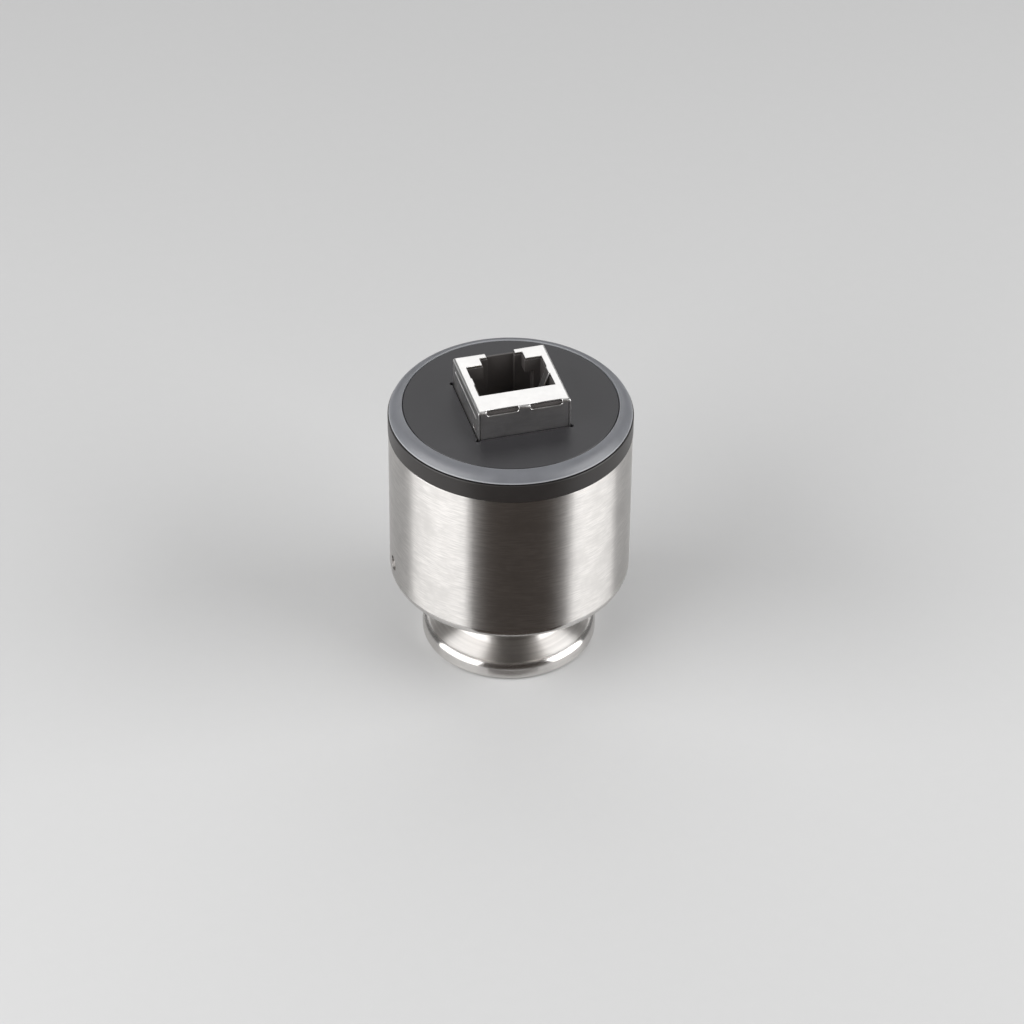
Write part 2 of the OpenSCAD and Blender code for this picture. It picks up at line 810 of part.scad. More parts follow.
// Side view of a folded box: square below, bent at the two upper edges
module bent_outline(w, z, top, r) {
    difference() {
        translate([-w / 2, z]) square([w, top - z]);
        corner_cut([w / 2, top], r, [-1, -1]);
        corner_cut([-w / 2, top], r, [1, -1]);
    }
}

module bent_box(w, d, z, top, r) {
    intersection() {
        translate([0, d / 2, 0]) rotate([90, 0, 0]) linear_extrude(d) bent_outline(w, z, top, r);
        translate([-w / 2, 0, 0]) rotate([90, 0, 90]) linear_extrude(w) bent_outline(d, z, top, r);
    }
}

// Plug opening: a wide part, and a latch recess of two steps that runs out at the back
module opening_outline(inset, back) {
    w = opening_half - inset;
    latch = latch_half - inset;
    slot = slot_half - inset;
    y = [opening_front + inset, opening_back - inset, latch_back - inset];
    polygon([
        [-w, y[0]], [w, y[0]], [w, y[1]], [latch, y[1]], [latch, y[2]], [slot, y[2]], [slot, back],
        [-slot, back], [-slot, y[2]], [-latch, y[2]], [-latch, y[1]], [-w, y[1]]
    ]);
}

// Slot along the front bend, with round lower ends
module fold_slot(x) {
    translate([x, bend_r - jack_d / 2, 0]) rotate([90, 0, 0]) linear_extrude(bend_r + cut) difference() {
        translate([0, jack_top_z - fold_slot_h]) square([fold_slot_l, fold_slot_h + cut]);
        corner_cut([0, jack_top_z - fold_slot_h], fold_slot_round, [1, 1]);
        corner_cut([fold_slot_l, jack_top_z - fold_slot_h], fold_slot_round, [-1, 1]);
    }
}

// Grounding finger bent down from the side of the opening
module finger() {
    low_z = jack_top_z - finger_h;
    translate([0, finger_y + finger_w / 2, 0]) rotate([90, 0, 0]) linear_extrude(finger_w) polygon([
        [opening_half + lap, jack_top_z], [opening_half - sheet_t / 2, jack_top_z],
        [opening_half - sheet_t - finger_lean, low_z], [opening_half - finger_lean, low_z],
        [opening_half, jack_top_z - sheet_t], [opening_half + lap, jack_top_z - sheet_t]
    ]);
}

module jack_shield() {
    wall_h = jack_top_z - bend_r - jack_board_top_z;
    seam_x = jack_w / 2 - sheet_t - seam_w;
    seam_y = jack_d / 2 - sheet_t / 2;
    window_z = jack_top_z - window_drop;
    window_y = window_from_front - jack_d / 2;
    color("gainsboro") translate([0, jack_y, 0]) {
        difference() {
            bent_box(jack_w, jack_d, jack_board_top_z, jack_top_z, bend_r);
            bent_box(jack_w - 2 * sheet_t, jack_d - 2 * sheet_t, jack_board_top_z - cut, jack_top_z - sheet_t,
                bend_r - sheet_t);
            translate([0, 0, jack_top_z - 2 * sheet_t]) linear_extrude(cut + 2 * sheet_t)
                opening_outline(0, jack_d / 2 - bend_r);
            translate([-slot_half, latch_back, jack_top_z - slot_drop])
                cube([slot_w, jack_d / 2, slot_drop + cut]);
            fold_slot(fold_tab_w / 2);
            fold_slot(-fold_tab_w / 2 - fold_slot_l);
            both_sides() {
                for (end = [-1, 1])
                    translate([seam_x, end * seam_y - sheet_t, jack_board_top_z - cut])
                        cube([seam_w, 2 * sheet_t, wall_h + cut]);
                translate([jack_w / 2 - rib_depth, rib_end - jack_d / 2, jack_top_z - rib_drop - rib_h])
                    cube([cut, jack_d - 2 * rib_end, rib_h]);
                translate([jack_w / 2 - 2 * sheet_t, window_y, window_z - window_size.y])
                    cube([4 * sheet_t, window_size.x, window_size.y]);
            }
        }
        both_sides() {
            finger();
            translate([jack_w / 2 - sheet_t, -leg_w / 2, jack_board_z - leg_tail])
                cube([sheet_t, leg_w, board_t + leg_tail + lap]);
        }
    }
}

module jack_insert() {
    relief_y = finger_y - finger_w / 2 - finger_relief;
    relief_h = finger_h + finger_relief;
    cavity_size = [opening_w, opening_back - opening_front] - 2 * [insert_inset, insert_inset];
    bump = [lap + sheet_t + free_fit, window_size.x - 2 * bump_margin, window_size.y - 2 * bump_margin];
    bump_y = window_from_front - jack_d / 2 + bump_margin;
    bump_z = jack_top_z - window_drop - window_size.y + bump_margin;
    slot_h = contact_elbow_z + 2 * contact_d - jack_board_top_z;
    color([0.12, 0.11, 0.11]) translate([0, jack_y, 0]) {
        difference() {
            chip([0, 0], jack_board_top_z, [insert_w, insert_d, insert_top_z - jack_board_top_z]);
            translate([-opening_half + insert_inset, opening_front + insert_inset, cavity_z])
                cube([cavity_size.x, cavity_size.y, cavity_depth]);
            translate([0, 0, latch_z]) linear_extrude(latch_depth)
                opening_outline(insert_inset, insert_d / 2 - slot_back_wall);
            translate([-hook_half, opening_back - insert_inset - cut, latch_z])
                cube([2 * hook_half, latch_back - opening_back + cut, latch_depth - bezel_t]);
            both_sides() translate([opening_half - cut, relief_y, jack_top_z - relief_h])
                cube([cut + finger_relief, finger_w + 2 * finger_relief, relief_h]);
            translate([0, -jack_y, 0]) at_contacts()
                translate([-contact_slot_w / 2, contact_front - contact_slot_d, jack_board_top_z - cut])
                    cube([contact_slot_w, contact_slot_d + cut, slot_h + cut]);
        }
        both_sides() {
            translate([peg_x, peg_y, jack_board_z - peg_tail])
                cylinder(h = board_t + peg_tail + lap, r = peg_r);
            translate([insert_w / 2 - lap, bump_y, bump_z]) cube(bump);
        }
    }
}

module jack_contacts() {
    elbow = [0, contact_y, contact_elbow_z];
    color("gold") at_contacts() {
        rod([0, contact_y, jack_board_z - pin_tail], elbow, contact_r);
        translate(elbow) sphere(contact_r);
        rod(elbow, [0, contact_end_y, contact_end_z], contact_r);
    }
}

// Cap

module cap_band() {
    color([0.2, 0.19, 0.19]) rotate_extrude() difference() {
        union() {
            translate([0, housing_top_z]) square([band_r, band_h]);
            translate([0, lip_z]) square([lip_r, band_ledge_z - lip_z]);
        }
        translate([-cut, lip_z - cut]) square([lip_inner_r + cut, band_top_z - lip_z + 2 * cut]);
        translate([-cut, band_ledge_z]) square([band_inner_r + cut, band_h]);
    }
}

// Circle through two points of the ring's face, bulging outwards
module ring_bulge() {
    low = [ring_r, ring_foot_z];
    high = [ring_inner_r, ring_top_z];
    chord = high - low;
    depth = sqrt(ring_bulge_r * ring_bulge_r - chord * chord / 4);
    inward = [-chord.y, chord.x] / norm(chord);
    translate((low + high) / 2 + inward * depth) circle(ring_bulge_r);
}

module light_ring() {
    color([0.55, 0.56, 0.6]) rotate_extrude() {
        intersection() {
            translate([ring_inner_r, ring_foot_z]) square([ring_w + cut, ring_h + cut]);
            ring_bulge();
        }
        difference() {
            translate([0, plug_z]) square([plug_r, ring_foot_z + lap - plug_z]);
            translate([-cut, 0]) square([guide_inner_r + cut, ring_top_z]);
            translate([-cut, disc_z]) square([ring_inner_r + cut, ring_h]);
        }
        translate([guide_inner_r, guide_z]) square([guide_w, plug_z + lap - guide_z]);
        translate([plug_r - lap, band_top_z])
            square([ring_r - shadow_depth - plug_r + lap, shadow_gap + lap]);
    }
}

module cover_disc() {
    cutout = [jack_w + 2 * free_fit, jack_d + 2 * free_fit];
    color([0.3, 0.3, 0.31]) difference() {
        translate([0, 0, disc_z]) cylinder(h = disc_t, r = disc_r);
        translate([0, jack_y, disc_z - cut]) {
            translate(-cutout / 2) cube([cutout.x, cutout.y, disc_t + 2 * cut]);
            for (x = [-1, 1], y = [-1, 1])
                translate([x * cutout.x / 2, y * cutout.y / 2, 0])
                    cylinder(h = disc_t + 2 * cut, r = cutout_relief_r);
        }
    }
}

flange_tube();
inlet_screen();
snap_ring();
feedthrough_plate();
glass_beads();
feedthrough_pins();
filament_arms();
filament();
reference_resistor();
base_seal();
clamp_collar();
set_screw();
housing_cup();
sensor_socket();
socket_contacts();
sensor_board();
controller_chip();
bridge_amplifier();
bridge_resistors();
link_header();
link_pins();
board_spacers();
jack_board();
supply_capacitors();
supply_regulator();
status_lights();
board_screws();
jack_shield();
jack_insert();
jack_contacts();
cap_band();
light_ring();
cover_disc();
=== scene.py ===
"""Looks of a pirani vacuum gauge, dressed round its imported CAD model.

The turned and moulded pieces that show are modelled again as smooth meshes with rounded edges. The folded
jack and the small metal pieces keep their CAD form with softened edges, and every piece gets a finish made
of nodes. Lengths are in metres, in the CAD's own frame, with the gauge standing on its flange.
"""

import json
import logging
import math
from dataclasses import dataclass
from enum import Enum
from typing import Any, Iterable

import bmesh
import bpy
from bmesh.types import BMesh, BMVert
from bpy.types import Material, Node, NodeSocket, Object, World
from mathutils import Matrix, Vector


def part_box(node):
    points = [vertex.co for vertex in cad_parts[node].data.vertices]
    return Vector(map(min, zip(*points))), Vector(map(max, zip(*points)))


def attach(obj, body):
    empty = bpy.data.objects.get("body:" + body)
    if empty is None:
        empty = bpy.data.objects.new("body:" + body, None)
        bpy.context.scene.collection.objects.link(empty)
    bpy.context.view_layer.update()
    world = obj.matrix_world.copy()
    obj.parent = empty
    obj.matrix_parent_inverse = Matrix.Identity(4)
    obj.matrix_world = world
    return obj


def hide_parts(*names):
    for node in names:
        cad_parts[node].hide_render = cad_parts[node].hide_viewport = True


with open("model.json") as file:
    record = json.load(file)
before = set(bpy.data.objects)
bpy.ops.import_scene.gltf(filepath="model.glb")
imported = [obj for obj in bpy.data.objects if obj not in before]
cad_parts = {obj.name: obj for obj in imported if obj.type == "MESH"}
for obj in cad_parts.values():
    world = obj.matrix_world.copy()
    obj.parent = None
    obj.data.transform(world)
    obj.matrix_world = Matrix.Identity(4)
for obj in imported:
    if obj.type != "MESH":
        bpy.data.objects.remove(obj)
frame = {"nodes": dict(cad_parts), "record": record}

LOG = logging.getLogger("gauge")
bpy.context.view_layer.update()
BODY = "root"
MM = 0.001
# Points nearer to each other than this are one point
MERGE = 0.0005 * MM
# Faces that meet at less than FLAT are one face, and at more than SHARP they meet in an edge
FLAT = math.radians(0.5)
SHARP = math.radians(32)
# Steps in a full turn, and in the round on a softened edge
ROUND_STEPS = 240
EDGE_STEPS = 3
# Layers of cloudy noise, their share, and how much finer each layer of noise is than the last
CLOUD_LAYERS = 3.0
CLOUD_SHARE = 0.6
LAYER_STEP = 2.17
# Middle of a noise, and the levels between which lines, smears and clouds go from dark to light
MIDDLE = 0.5
LINE_LEVELS = (0.32, 0.68)
SMEAR_LEVELS = (0.25, 0.6)
CLOUD_LEVELS = (0.3, 0.7)
# Part of a turn that draws a highlight out across the lines
ACROSS = 0.25

Color = tuple[float, float, float]


class Grain(Enum):
    """Ways in which the lines of a metal's finish can run."""

    ROUND_AXIS = "round the gauge's axis"
    LEVEL = "level along every side"
    ALONG_X = "along X"
    ALONG_Z = "along Z"


class Polish(Enum):
    """Where a lined metal is polished as well."""

    NOWHERE = "nowhere"
    BELOW = "below a height"
    BEYOND = "outside a radius"


class Signal:
    """A number that changes over a surface, on which plain arithmetic adds Math nodes."""

    def __init__(self, graph: "Graph", socket: NodeSocket) -> None:
        """Wraps an output socket of a graph."""
        self.graph = graph
        self.socket = socket

    def _math(self, operation: str, first: "Signal | float", second: "Signal | float") -> "Signal":
        """The result of one Math node."""
        node = self.graph.node("ShaderNodeMath", {"operation": operation}, {0: first, 1: second})
        return Signal(self.graph, node.outputs[0])

    def __add__(self, other: "Signal | float") -> "Signal":
        """Sum with a number or another signal."""
        return self._math("ADD", self, other)

    __radd__ = __add__

    def __sub__(self, other: "Signal | float") -> "Signal":
        """Difference from a number or another signal."""
        return self._math("SUBTRACT", self, other)

    def __rsub__(self, other: float) -> "Signal":
        """A number less this signal."""
        return self._math("SUBTRACT", other, self)

    def __mul__(self, other: "Signal | float") -> "Signal":
        """Product with a number or another signal."""
        return self._math("MULTIPLY", self, other)

    __rmul__ = __mul__

    def __pow__(self, other: "Signal | float") -> "Signal":
        """Power of this signal."""
        return self._math("POWER", self, other)

    def over(self, level: float) -> "Signal":
        """One where the signal is over a level, and nought elsewhere."""
        return self._math("GREATER_THAN", self, level)

    def folded(self, width: float) -> "Signal":
        """The signal run up and down between nought and a width."""
        return self._math("PINGPONG", self, width)

    def swing(self, width: float) -> "Signal":
        """The signal's distance from its middle, times a width."""
        return width * (self - MIDDLE)

    def eased(self, low: float, high: float) -> "Signal":
        """A smooth step.

        Args:
            low: Level up to which it is nought.
            high: Level from which it is one.

        Returns:
            The step.
        """
        smooth = {"interpolation_type": "SMOOTHSTEP"}
        node = self.graph.node("ShaderNodeMapRange", smooth, {0: self, 1: low, 2: high})
        return Signal(self.graph, node.outputs[0])


class Graph:
    """The nodes of one material."""

    def __init__(self, name: str) -> None:
        """Starts a material with a Principled shader and its output.

        Args:
            name: Name of the material.
        """
        self.material = bpy.data.materials.new(name)
        self.material.use_nodes = True
        self.tree = self.material.node_tree
        self.tree.nodes.clear()
        self.shader = self.node("ShaderNodeBsdfPrincipled")
        self.node("ShaderNodeOutputMaterial", sockets={"Surface": self.shader.outputs[0]})

    def node(
        self,
        kind: str,
        settings: dict[str, Any] | None = None,
        sockets: dict[str | int, Any] | None = None,
    ) -> Node:
        """Adds a node.

        Args:
            kind: Blender's name for the node's type.
            settings: Properties of the node, which are set first.
            sockets: Values or links of its inputs, by name or number.

        Returns:
            The new node.
        """
        node = self.tree.nodes.new(kind)
        for name, value in (settings or {}).items():
            setattr(node, name, value)
        self.feed(node, sockets or {})
        return node

    def feed(self, node: Node, sockets: dict[str | int, Any]) -> None:
        """Sets or links a node's inputs.

        Args:
            node: The node to feed.
            sockets: Values or links of its inputs, by name or number.
        """
        for key, value in sockets.items():
            if isinstance(value, Signal):
                value = value.socket
            if isinstance(value, NodeSocket):
                self.tree.links.new(value, node.inputs[key])
            else:
                node.inputs[key].default_value = value

    def surface(self, sockets: dict[str, Any]) -> None:
        """Sets or links the Principled shader's inputs."""
        self.feed(self.shader, sockets)

    def place(self) -> tuple[Signal, Signal, Signal]:
        """The point on the piece.

        Returns:
            Its X, Y and Z in millimetres.
        """
        coordinates = self.node("ShaderNodeTexCoord").outputs["Object"]
        scale = {"operation": "SCALE"}
        scaled = self.node("ShaderNodeVectorMath", scale, {0: coordinates, "Scale": 1 / MM}).outputs[0]
        split = self.node("ShaderNodeSeparateXYZ", sockets={0: scaled})
        return tuple(Signal(self, split.outputs[i]) for i in range(3))

    def radius(self) -> Signal:
        """The point's distance from the gauge's axis, in millimetres."""
        x, y, _ = self.place()
        return (x * x + y * y) ** 0.5

    def noise(self, point: Iterable[Signal | float], detail: float = 2.0, rough: float = 0.55) -> Signal:
        """Soft noise from nought to one, about one wave for each unit of the point.

        Args:
            point: Three signals, already scaled.
            detail: Number of finer layers.
            rough: Share of the finer layers.

        Returns:
            The noise.
        """
        vector = self.node("ShaderNodeCombineXYZ", sockets=dict(enumerate(point))).outputs[0]
        layers = {"Detail": detail, "Roughness": rough, "Lacunarity": LAYER_STEP}
        node = self.node("ShaderNodeTexNoise", sockets={"Vector": vector, "Scale": 1.0, **layers})
        return Signal(self, node.outputs[0])

    def even_noise(self, per_mm: float, detail: float = 2.0, rough: float = 0.55) -> Signal:
        """Soft noise that is alike in all directions, with a number of waves to the millimetre."""
        return self.noise([axis * per_mm for axis in self.place()], detail, rough)

    def clouds(self, per_mm: float) -> Signal:
        """Cloudy noise with a number of waves to the millimetre."""
        return self.even_noise(per_mm, CLOUD_LAYERS, CLOUD_SHARE)

    def mix(self, low: Any, high: Any, share: Signal) -> NodeSocket:
        """A colour between two.

        Args:
            low: Colour, or socket with it, where the share is nought.
            high: Colour, or socket with it, where the share is one.
            share: Share of the second colour.

        Returns:
            The socket with the mixed colour.
        """
        # Numbers 6 and 7 are the node's two colours, and its output 2 is the mixed one
        colors = [(*c, 1.0) if isinstance(c, tuple) else c for c in (low, high)]
        node = self.node("ShaderNodeMix", {"data_type": "RGBA"}, {0: share, 6: colors[0], 7: colors[1]})
        return node.outputs[2]

    def bump(self, height: Signal, depth_mm: float, strength: float = 1.0) -> NodeSocket:
        """A normal bent by a height from nought to one that stands for a real depth."""
        sockets = {"Height": height, "Distance": depth_mm * MM, "Strength": strength}
        return self.node("ShaderNodeBump", sockets=sockets).outputs[0]


def shaded(color: Color, factor: float) -> Color:
    """A colour made lighter or darker by a factor."""
    return tuple(min(1.0, c * factor) for c in color)


def tones(color: Color, contrast: float) -> tuple[Color, Color]:
    """A darker and a lighter tone of a colour, by a share of it."""
    return shaded(color, 1 - contrast), shaded(color, 1 + contrast)


@dataclass(frozen=True)
class Finish:
    """What every finish has.

    Attributes:
        slot: The record's material slot that it dresses.
        color: Its plain colour, as linear values.
        roughness: Its middle roughness.
    """

    slot: str
    color: Color
    roughness: float

    def material(self) -> Material:
        """Gives the finish's material, which is made once.

        Returns:
            The material.
        """
        name = f"{self.slot}_finish"
        if name not in bpy.data.materials:
            self.shade(Graph(name))
        return bpy.data.materials[name]

    def shade(self, graph: Graph) -> None:
        """Adds the finish's nodes to a graph."""
        raise NotImplementedError


@dataclass(frozen=True)
class LinedMetal(Finish):
    """Bare metal with the fine lines that turning, brushing or rolling leaves on it.

    Attributes:
        grain: The way in which the lines run.
        lines_per_mm: Lines across each millimetre.
        run_mm: Length of a line.
        contrast: Share by which a line is lighter or darker.
        depth_mm: Depth of a line.
        spread: Change of roughness between lines.
        fine_share: Share of the finest lines, where the others are twice as coarse.
        smears_per_mm: Smears across each millimetre.
        smear: Change of roughness between smears.
        stain: Share by which smears are darker.
        anisotropy: How far a highlight is drawn out across the lines.
        polish: Where the metal is polished.
        polish_mm: The height or radius at which the polish begins.
        polish_soft_mm: Half the width over which it comes in.
        polished: Roughness that it takes away.
    """

    grain: Grain = Grain.ROUND_AXIS
    lines_per_mm: float = 6.0
    run_mm: float = 4.0
    contrast: float = 0.06
    depth_mm: float = 0.004
    spread: float = 0.06
    fine_share: float = 0.75
    smears_per_mm: float = 0.2
    smear: float = 0.05
    stain: float = 0.04
    anisotropy: float = 0.0
    polish: Polish = Polish.NOWHERE
    polish_mm: float = 0.0
    polish_soft_mm: float = 0.3
    polished: float = 0.0

    def gloss(self, graph: Graph) -> Signal:
        """Where the metal is polished.

        Args:
            graph: The material's nodes.

        Returns:
            One where it is polished, and nought elsewhere.
        """
        start, end = self.polish_mm - self.polish_soft_mm, self.polish_mm + self.polish_soft_mm
        if self.polish is Polish.BELOW:
            return 1 - graph.place()[2].eased(start, end)
        return graph.radius().eased(start, end)

    def lines(self, graph: Graph, coarse: float) -> Signal:
        """Noise drawn out along the grain.

        Args:
            graph: The material's nodes.
            coarse: How many times wider and longer the lines are than the finest ones.

        Returns:
            The noise, from nought to one.
        """
        x, y, z = graph.place()
        slow, fast = 1 / (self.run_mm * coarse), self.lines_per_mm / coarse
        if self.grain is Grain.LEVEL:
            return graph.noise((x * slow, y * slow, z * fast))
        if self.grain is Grain.ALONG_X:
            return graph.noise((x * slow, y * fast, z * fast))
        if self.grain is Grain.ALONG_Z:
            return graph.noise((x * fast, y * fast, z * slow))
        return graph.noise((x * slow, y * slow, (z + graph.radius()) * fast))

    def shade(self, graph: Graph) -> None:
        """Adds lines in tone, roughness and height, and broad smears in tone and roughness.

        Args:
            graph: The material's nodes.
        """
        fine, coarse = self.lines(graph, 1.0), self.lines(graph, 2.0)
        lines = self.fine_share * fine + (1 - self.fine_share) * coarse
        smears = graph.clouds(self.smears_per_mm)
        dark, light = tones(self.color, self.contrast)
        lined = graph.mix(dark, light, lines.eased(*LINE_LEVELS))
        stained = graph.mix(shaded(dark, 1 - self.stain), lined, smears.eased(*SMEAR_LEVELS))
        roughness = self.roughness + lines.swing(self.spread) + smears.swing(self.smear)
        if self.polish is not Polish.NOWHERE:
            roughness = roughness - self.polished * self.gloss(graph)
        graph.surface({
            "Base Color": stained,
            "Metallic": 1.0,
            "Roughness": roughness,
            "Anisotropic": self.anisotropy,
            "Anisotropic Rotation": ACROSS,
            "Normal": graph.bump(lines, self.depth_mm),
        })


@dataclass(frozen=True)
class MouldedPlastic(Finish):
    """Moulded plastic with the fine texture of its tool.

    Attributes:
        grain_per_mm: Grains across each millimetre.
        grain_mm: Depth of the grain.
        grain_spread: Change of roughness between grains.
        patches_per_mm: Broad patches across each millimetre.
        contrast: Share by which those patches are lighter or darker.
        spread: Change of roughness between them.
        coat: Weight of a glossy skin.
        scatter: Share of light that enters and comes out again.
    """

    grain_per_mm: float = 8.0
    grain_mm: float = 0.006
    grain_spread: float = 0.05
    patches_per_mm: float = 0.25
    contrast: float = 0.06
    spread: float = 0.06
    coat: float = 0.0
    scatter: float = 0.0

    def shade(self, graph: Graph) -> None:
        """Adds grain in height, and broad patches in tone and roughness.

        Args:
            graph: The material's nodes.
        """
        grain = graph.even_noise(self.grain_per_mm, rough=CLOUD_SHARE)
        patches = graph.clouds(self.patches_per_mm)
        graph.surface({
            "Base Color": graph.mix(*tones(self.color, self.contrast), patches.eased(*CLOUD_LEVELS)),
            "Roughness": self.roughness + patches.swing(self.spread) + grain.swing(self.grain_spread),
            "Coat Weight": self.coat,
            "Coat Roughness": 0.2,
            "Subsurface Weight": self.scatter,
            "Subsurface Radius": (0.6, 0.6, 0.65),
            "Subsurface Scale": MM,
            "Normal": graph.bump(grain, self.grain_mm),
        })


@dataclass(frozen=True)
class FrostedPlastic(MouldedPlastic):
    """Frosted, slightly clear plastic of a ring round the axis, with painted highlights on its inner and
    outer edges.

    Attributes:
        highlight_color: Colour of the painted highlights on the edges.
        inner_mm: Radius of the inner edge.
        outer_mm: Radius of the outer edge.
        highlight_width_mm: Width of the painted highlights on the edges.
        inner_highlight: Strength of the painted highlight on the inner edge.
        outer_highlight: Strength of the painted highlight on the outer edge.
        lines_per_mm: Turning lines across each millimetre.
        waves_per_mm: Changes along each millimetre of a line.
        line_share: Share of the lines in its tone, where the rest comes from the patches.
        line_spread: Change of roughness between lines.
    """

    highlight_color: Color = (0.45, 0.46, 0.48)
    inner_mm: float = 18.2
    outer_mm: float = 20.5
    highlight_width_mm: float = 0.22
    inner_highlight: float = 0.5
    outer_highlight: float = 0.8
    lines_per_mm: float = 5.0
    waves_per_mm: float = 0.12
    line_share: float = 0.4
    line_spread: float = 0.08

    def shade(self, graph: Graph) -> None:
        """Adds painted highlights on both edges, cloudy patches, faint turning lines and a soft skin.

        Args:
            graph: The material's nodes.
        """
        x, y, z = graph.place()
        radius, slow = graph.radius(), self.waves_per_mm
        # Masks of the painted highlights along the outer and inner edges, by radius
        outer_highlight_mask = radius.eased(self.outer_mm - self.highlight_width_mm, self.outer_mm)
        inner = 1 - radius.eased(self.inner_mm, self.inner_mm + self.highlight_width_mm)
        patches = graph.clouds(self.patches_per_mm)
        lines = graph.noise((x * slow, y * slow, (z + radius) * self.lines_per_mm))
        frost = graph.even_noise(self.grain_per_mm, detail=1.0)
        tone = (1 - self.line_share) * patches.eased(*CLOUD_LEVELS) + self.line_share * lines
        body = graph.mix(*tones(self.color, self.contrast), tone)
        # Painted edge highlights, mixed into the base colour over the body's tone
        edges = self.outer_highlight * outer_highlight_mask + self.inner_highlight * inner
        graph.surface({
            "Base Color": graph.mix(body, self.highlight_color, edges),
            "Roughness": self.roughness + patches.swing(self.spread) + lines.swing(self.line_spread),
            "Coat Weight": self.coat,
            "Coat Roughness": 0.25,
            "Subsurface Weight": self.scatter,
            "Subsurface Radius": (0.8, 0.8, 0.85),
            "Subsurface Scale": MM,
            "Normal": graph.bump(0.5 * (frost + lines), self.grain_mm),
        })


@dataclass(frozen=True)
class CircuitBoard(Finish):
    """Laminate under green solder mask, with copper tracks that show through it.

    Attributes:
        track: Colour of the mask over copper.
        pitch_mm: Distance between neighbouring tracks.
        edge_shares: Shares of that distance between which a track's side slopes down.
        track_mm: Height of the copper.
        bends_per_mm: Bends of the tracks along each millimetre.
        bend_mm: How far a bend moves a track.
        spread: Change of roughness over the board.
    """

    track: Color = (0.05, 0.3, 0.15)
    pitch_mm: float = 1.6
    edge_shares: tuple[float, float] = (0.16, 0.2)
    track_mm: float = 0.035
    bends_per_mm: float = 0.09
    bend_mm: float = 14.0
    spread: float = 0.08

    def shade(self, graph: Graph) -> None:
        """Adds tracks that run straight and turn, as a lighter and raised mask.

        Args:
            graph: The material's nodes.
        """
        x, y, _ = graph.place()
        bend = graph.noise((x * self.bends_per_mm, y * self.bends_per_mm, 0.0), 0.0)
        across = (x + self.bend_mm * bend).folded(self.pitch_mm / 2)
        along = (y - self.bend_mm * bend).folded(self.pitch_mm / 2)
        turns = bend.over(MIDDLE)
        runs = turns * across + (1 - turns) * along
        tracks = 1 - (runs * (1 / self.pitch_mm)).eased(*self.edge_shares)
        graph.surface({
            "Base Color": graph.mix(self.color, self.track, tracks),
            "Roughness": self.roughness + bend.swing(self.spread),
            "Coat Weight": 0.4,
            "Normal": graph.bump(tracks, self.track_mm, strength=0.5),
        })


@dataclass(frozen=True)
class SealingGlass(Finish):
    """Fused glass round a pin, faintly green and with small bubbles.

    Attributes:
        bubbles_per_mm: Bubbles across each millimetre.
        levels: Levels of noise between which a bubble comes in.
        tone: Factor by which a bubble is lighter.
        spread: Roughness that a bubble adds.
        bubble_mm: Height of a bubble.
    """

    bubbles_per_mm: float = 6.0
    levels: tuple[float, float] = (0.6, 0.75)
    tone: float = 1.4
    spread: float = 0.2
    bubble_mm: float = 0.02

    def shade(self, graph: Graph) -> None:
        """Adds a clear body with bubbles in tone and height.

        Args:
            graph: The material's nodes.
        """
        bubbles = graph.even_noise(self.bubbles_per_mm, detail=1.0)
        spots = bubbles.eased(*self.levels)
        graph.surface({
            "Base Color": graph.mix(self.color, shaded(self.color, self.tone), spots),
            "Roughness": self.roughness + self.spread * spots,
            "Transmission Weight": 0.6,
            "IOR": 1.5,
            "Normal": graph.bump(bubbles, self.bubble_mm, strength=0.4),
        })


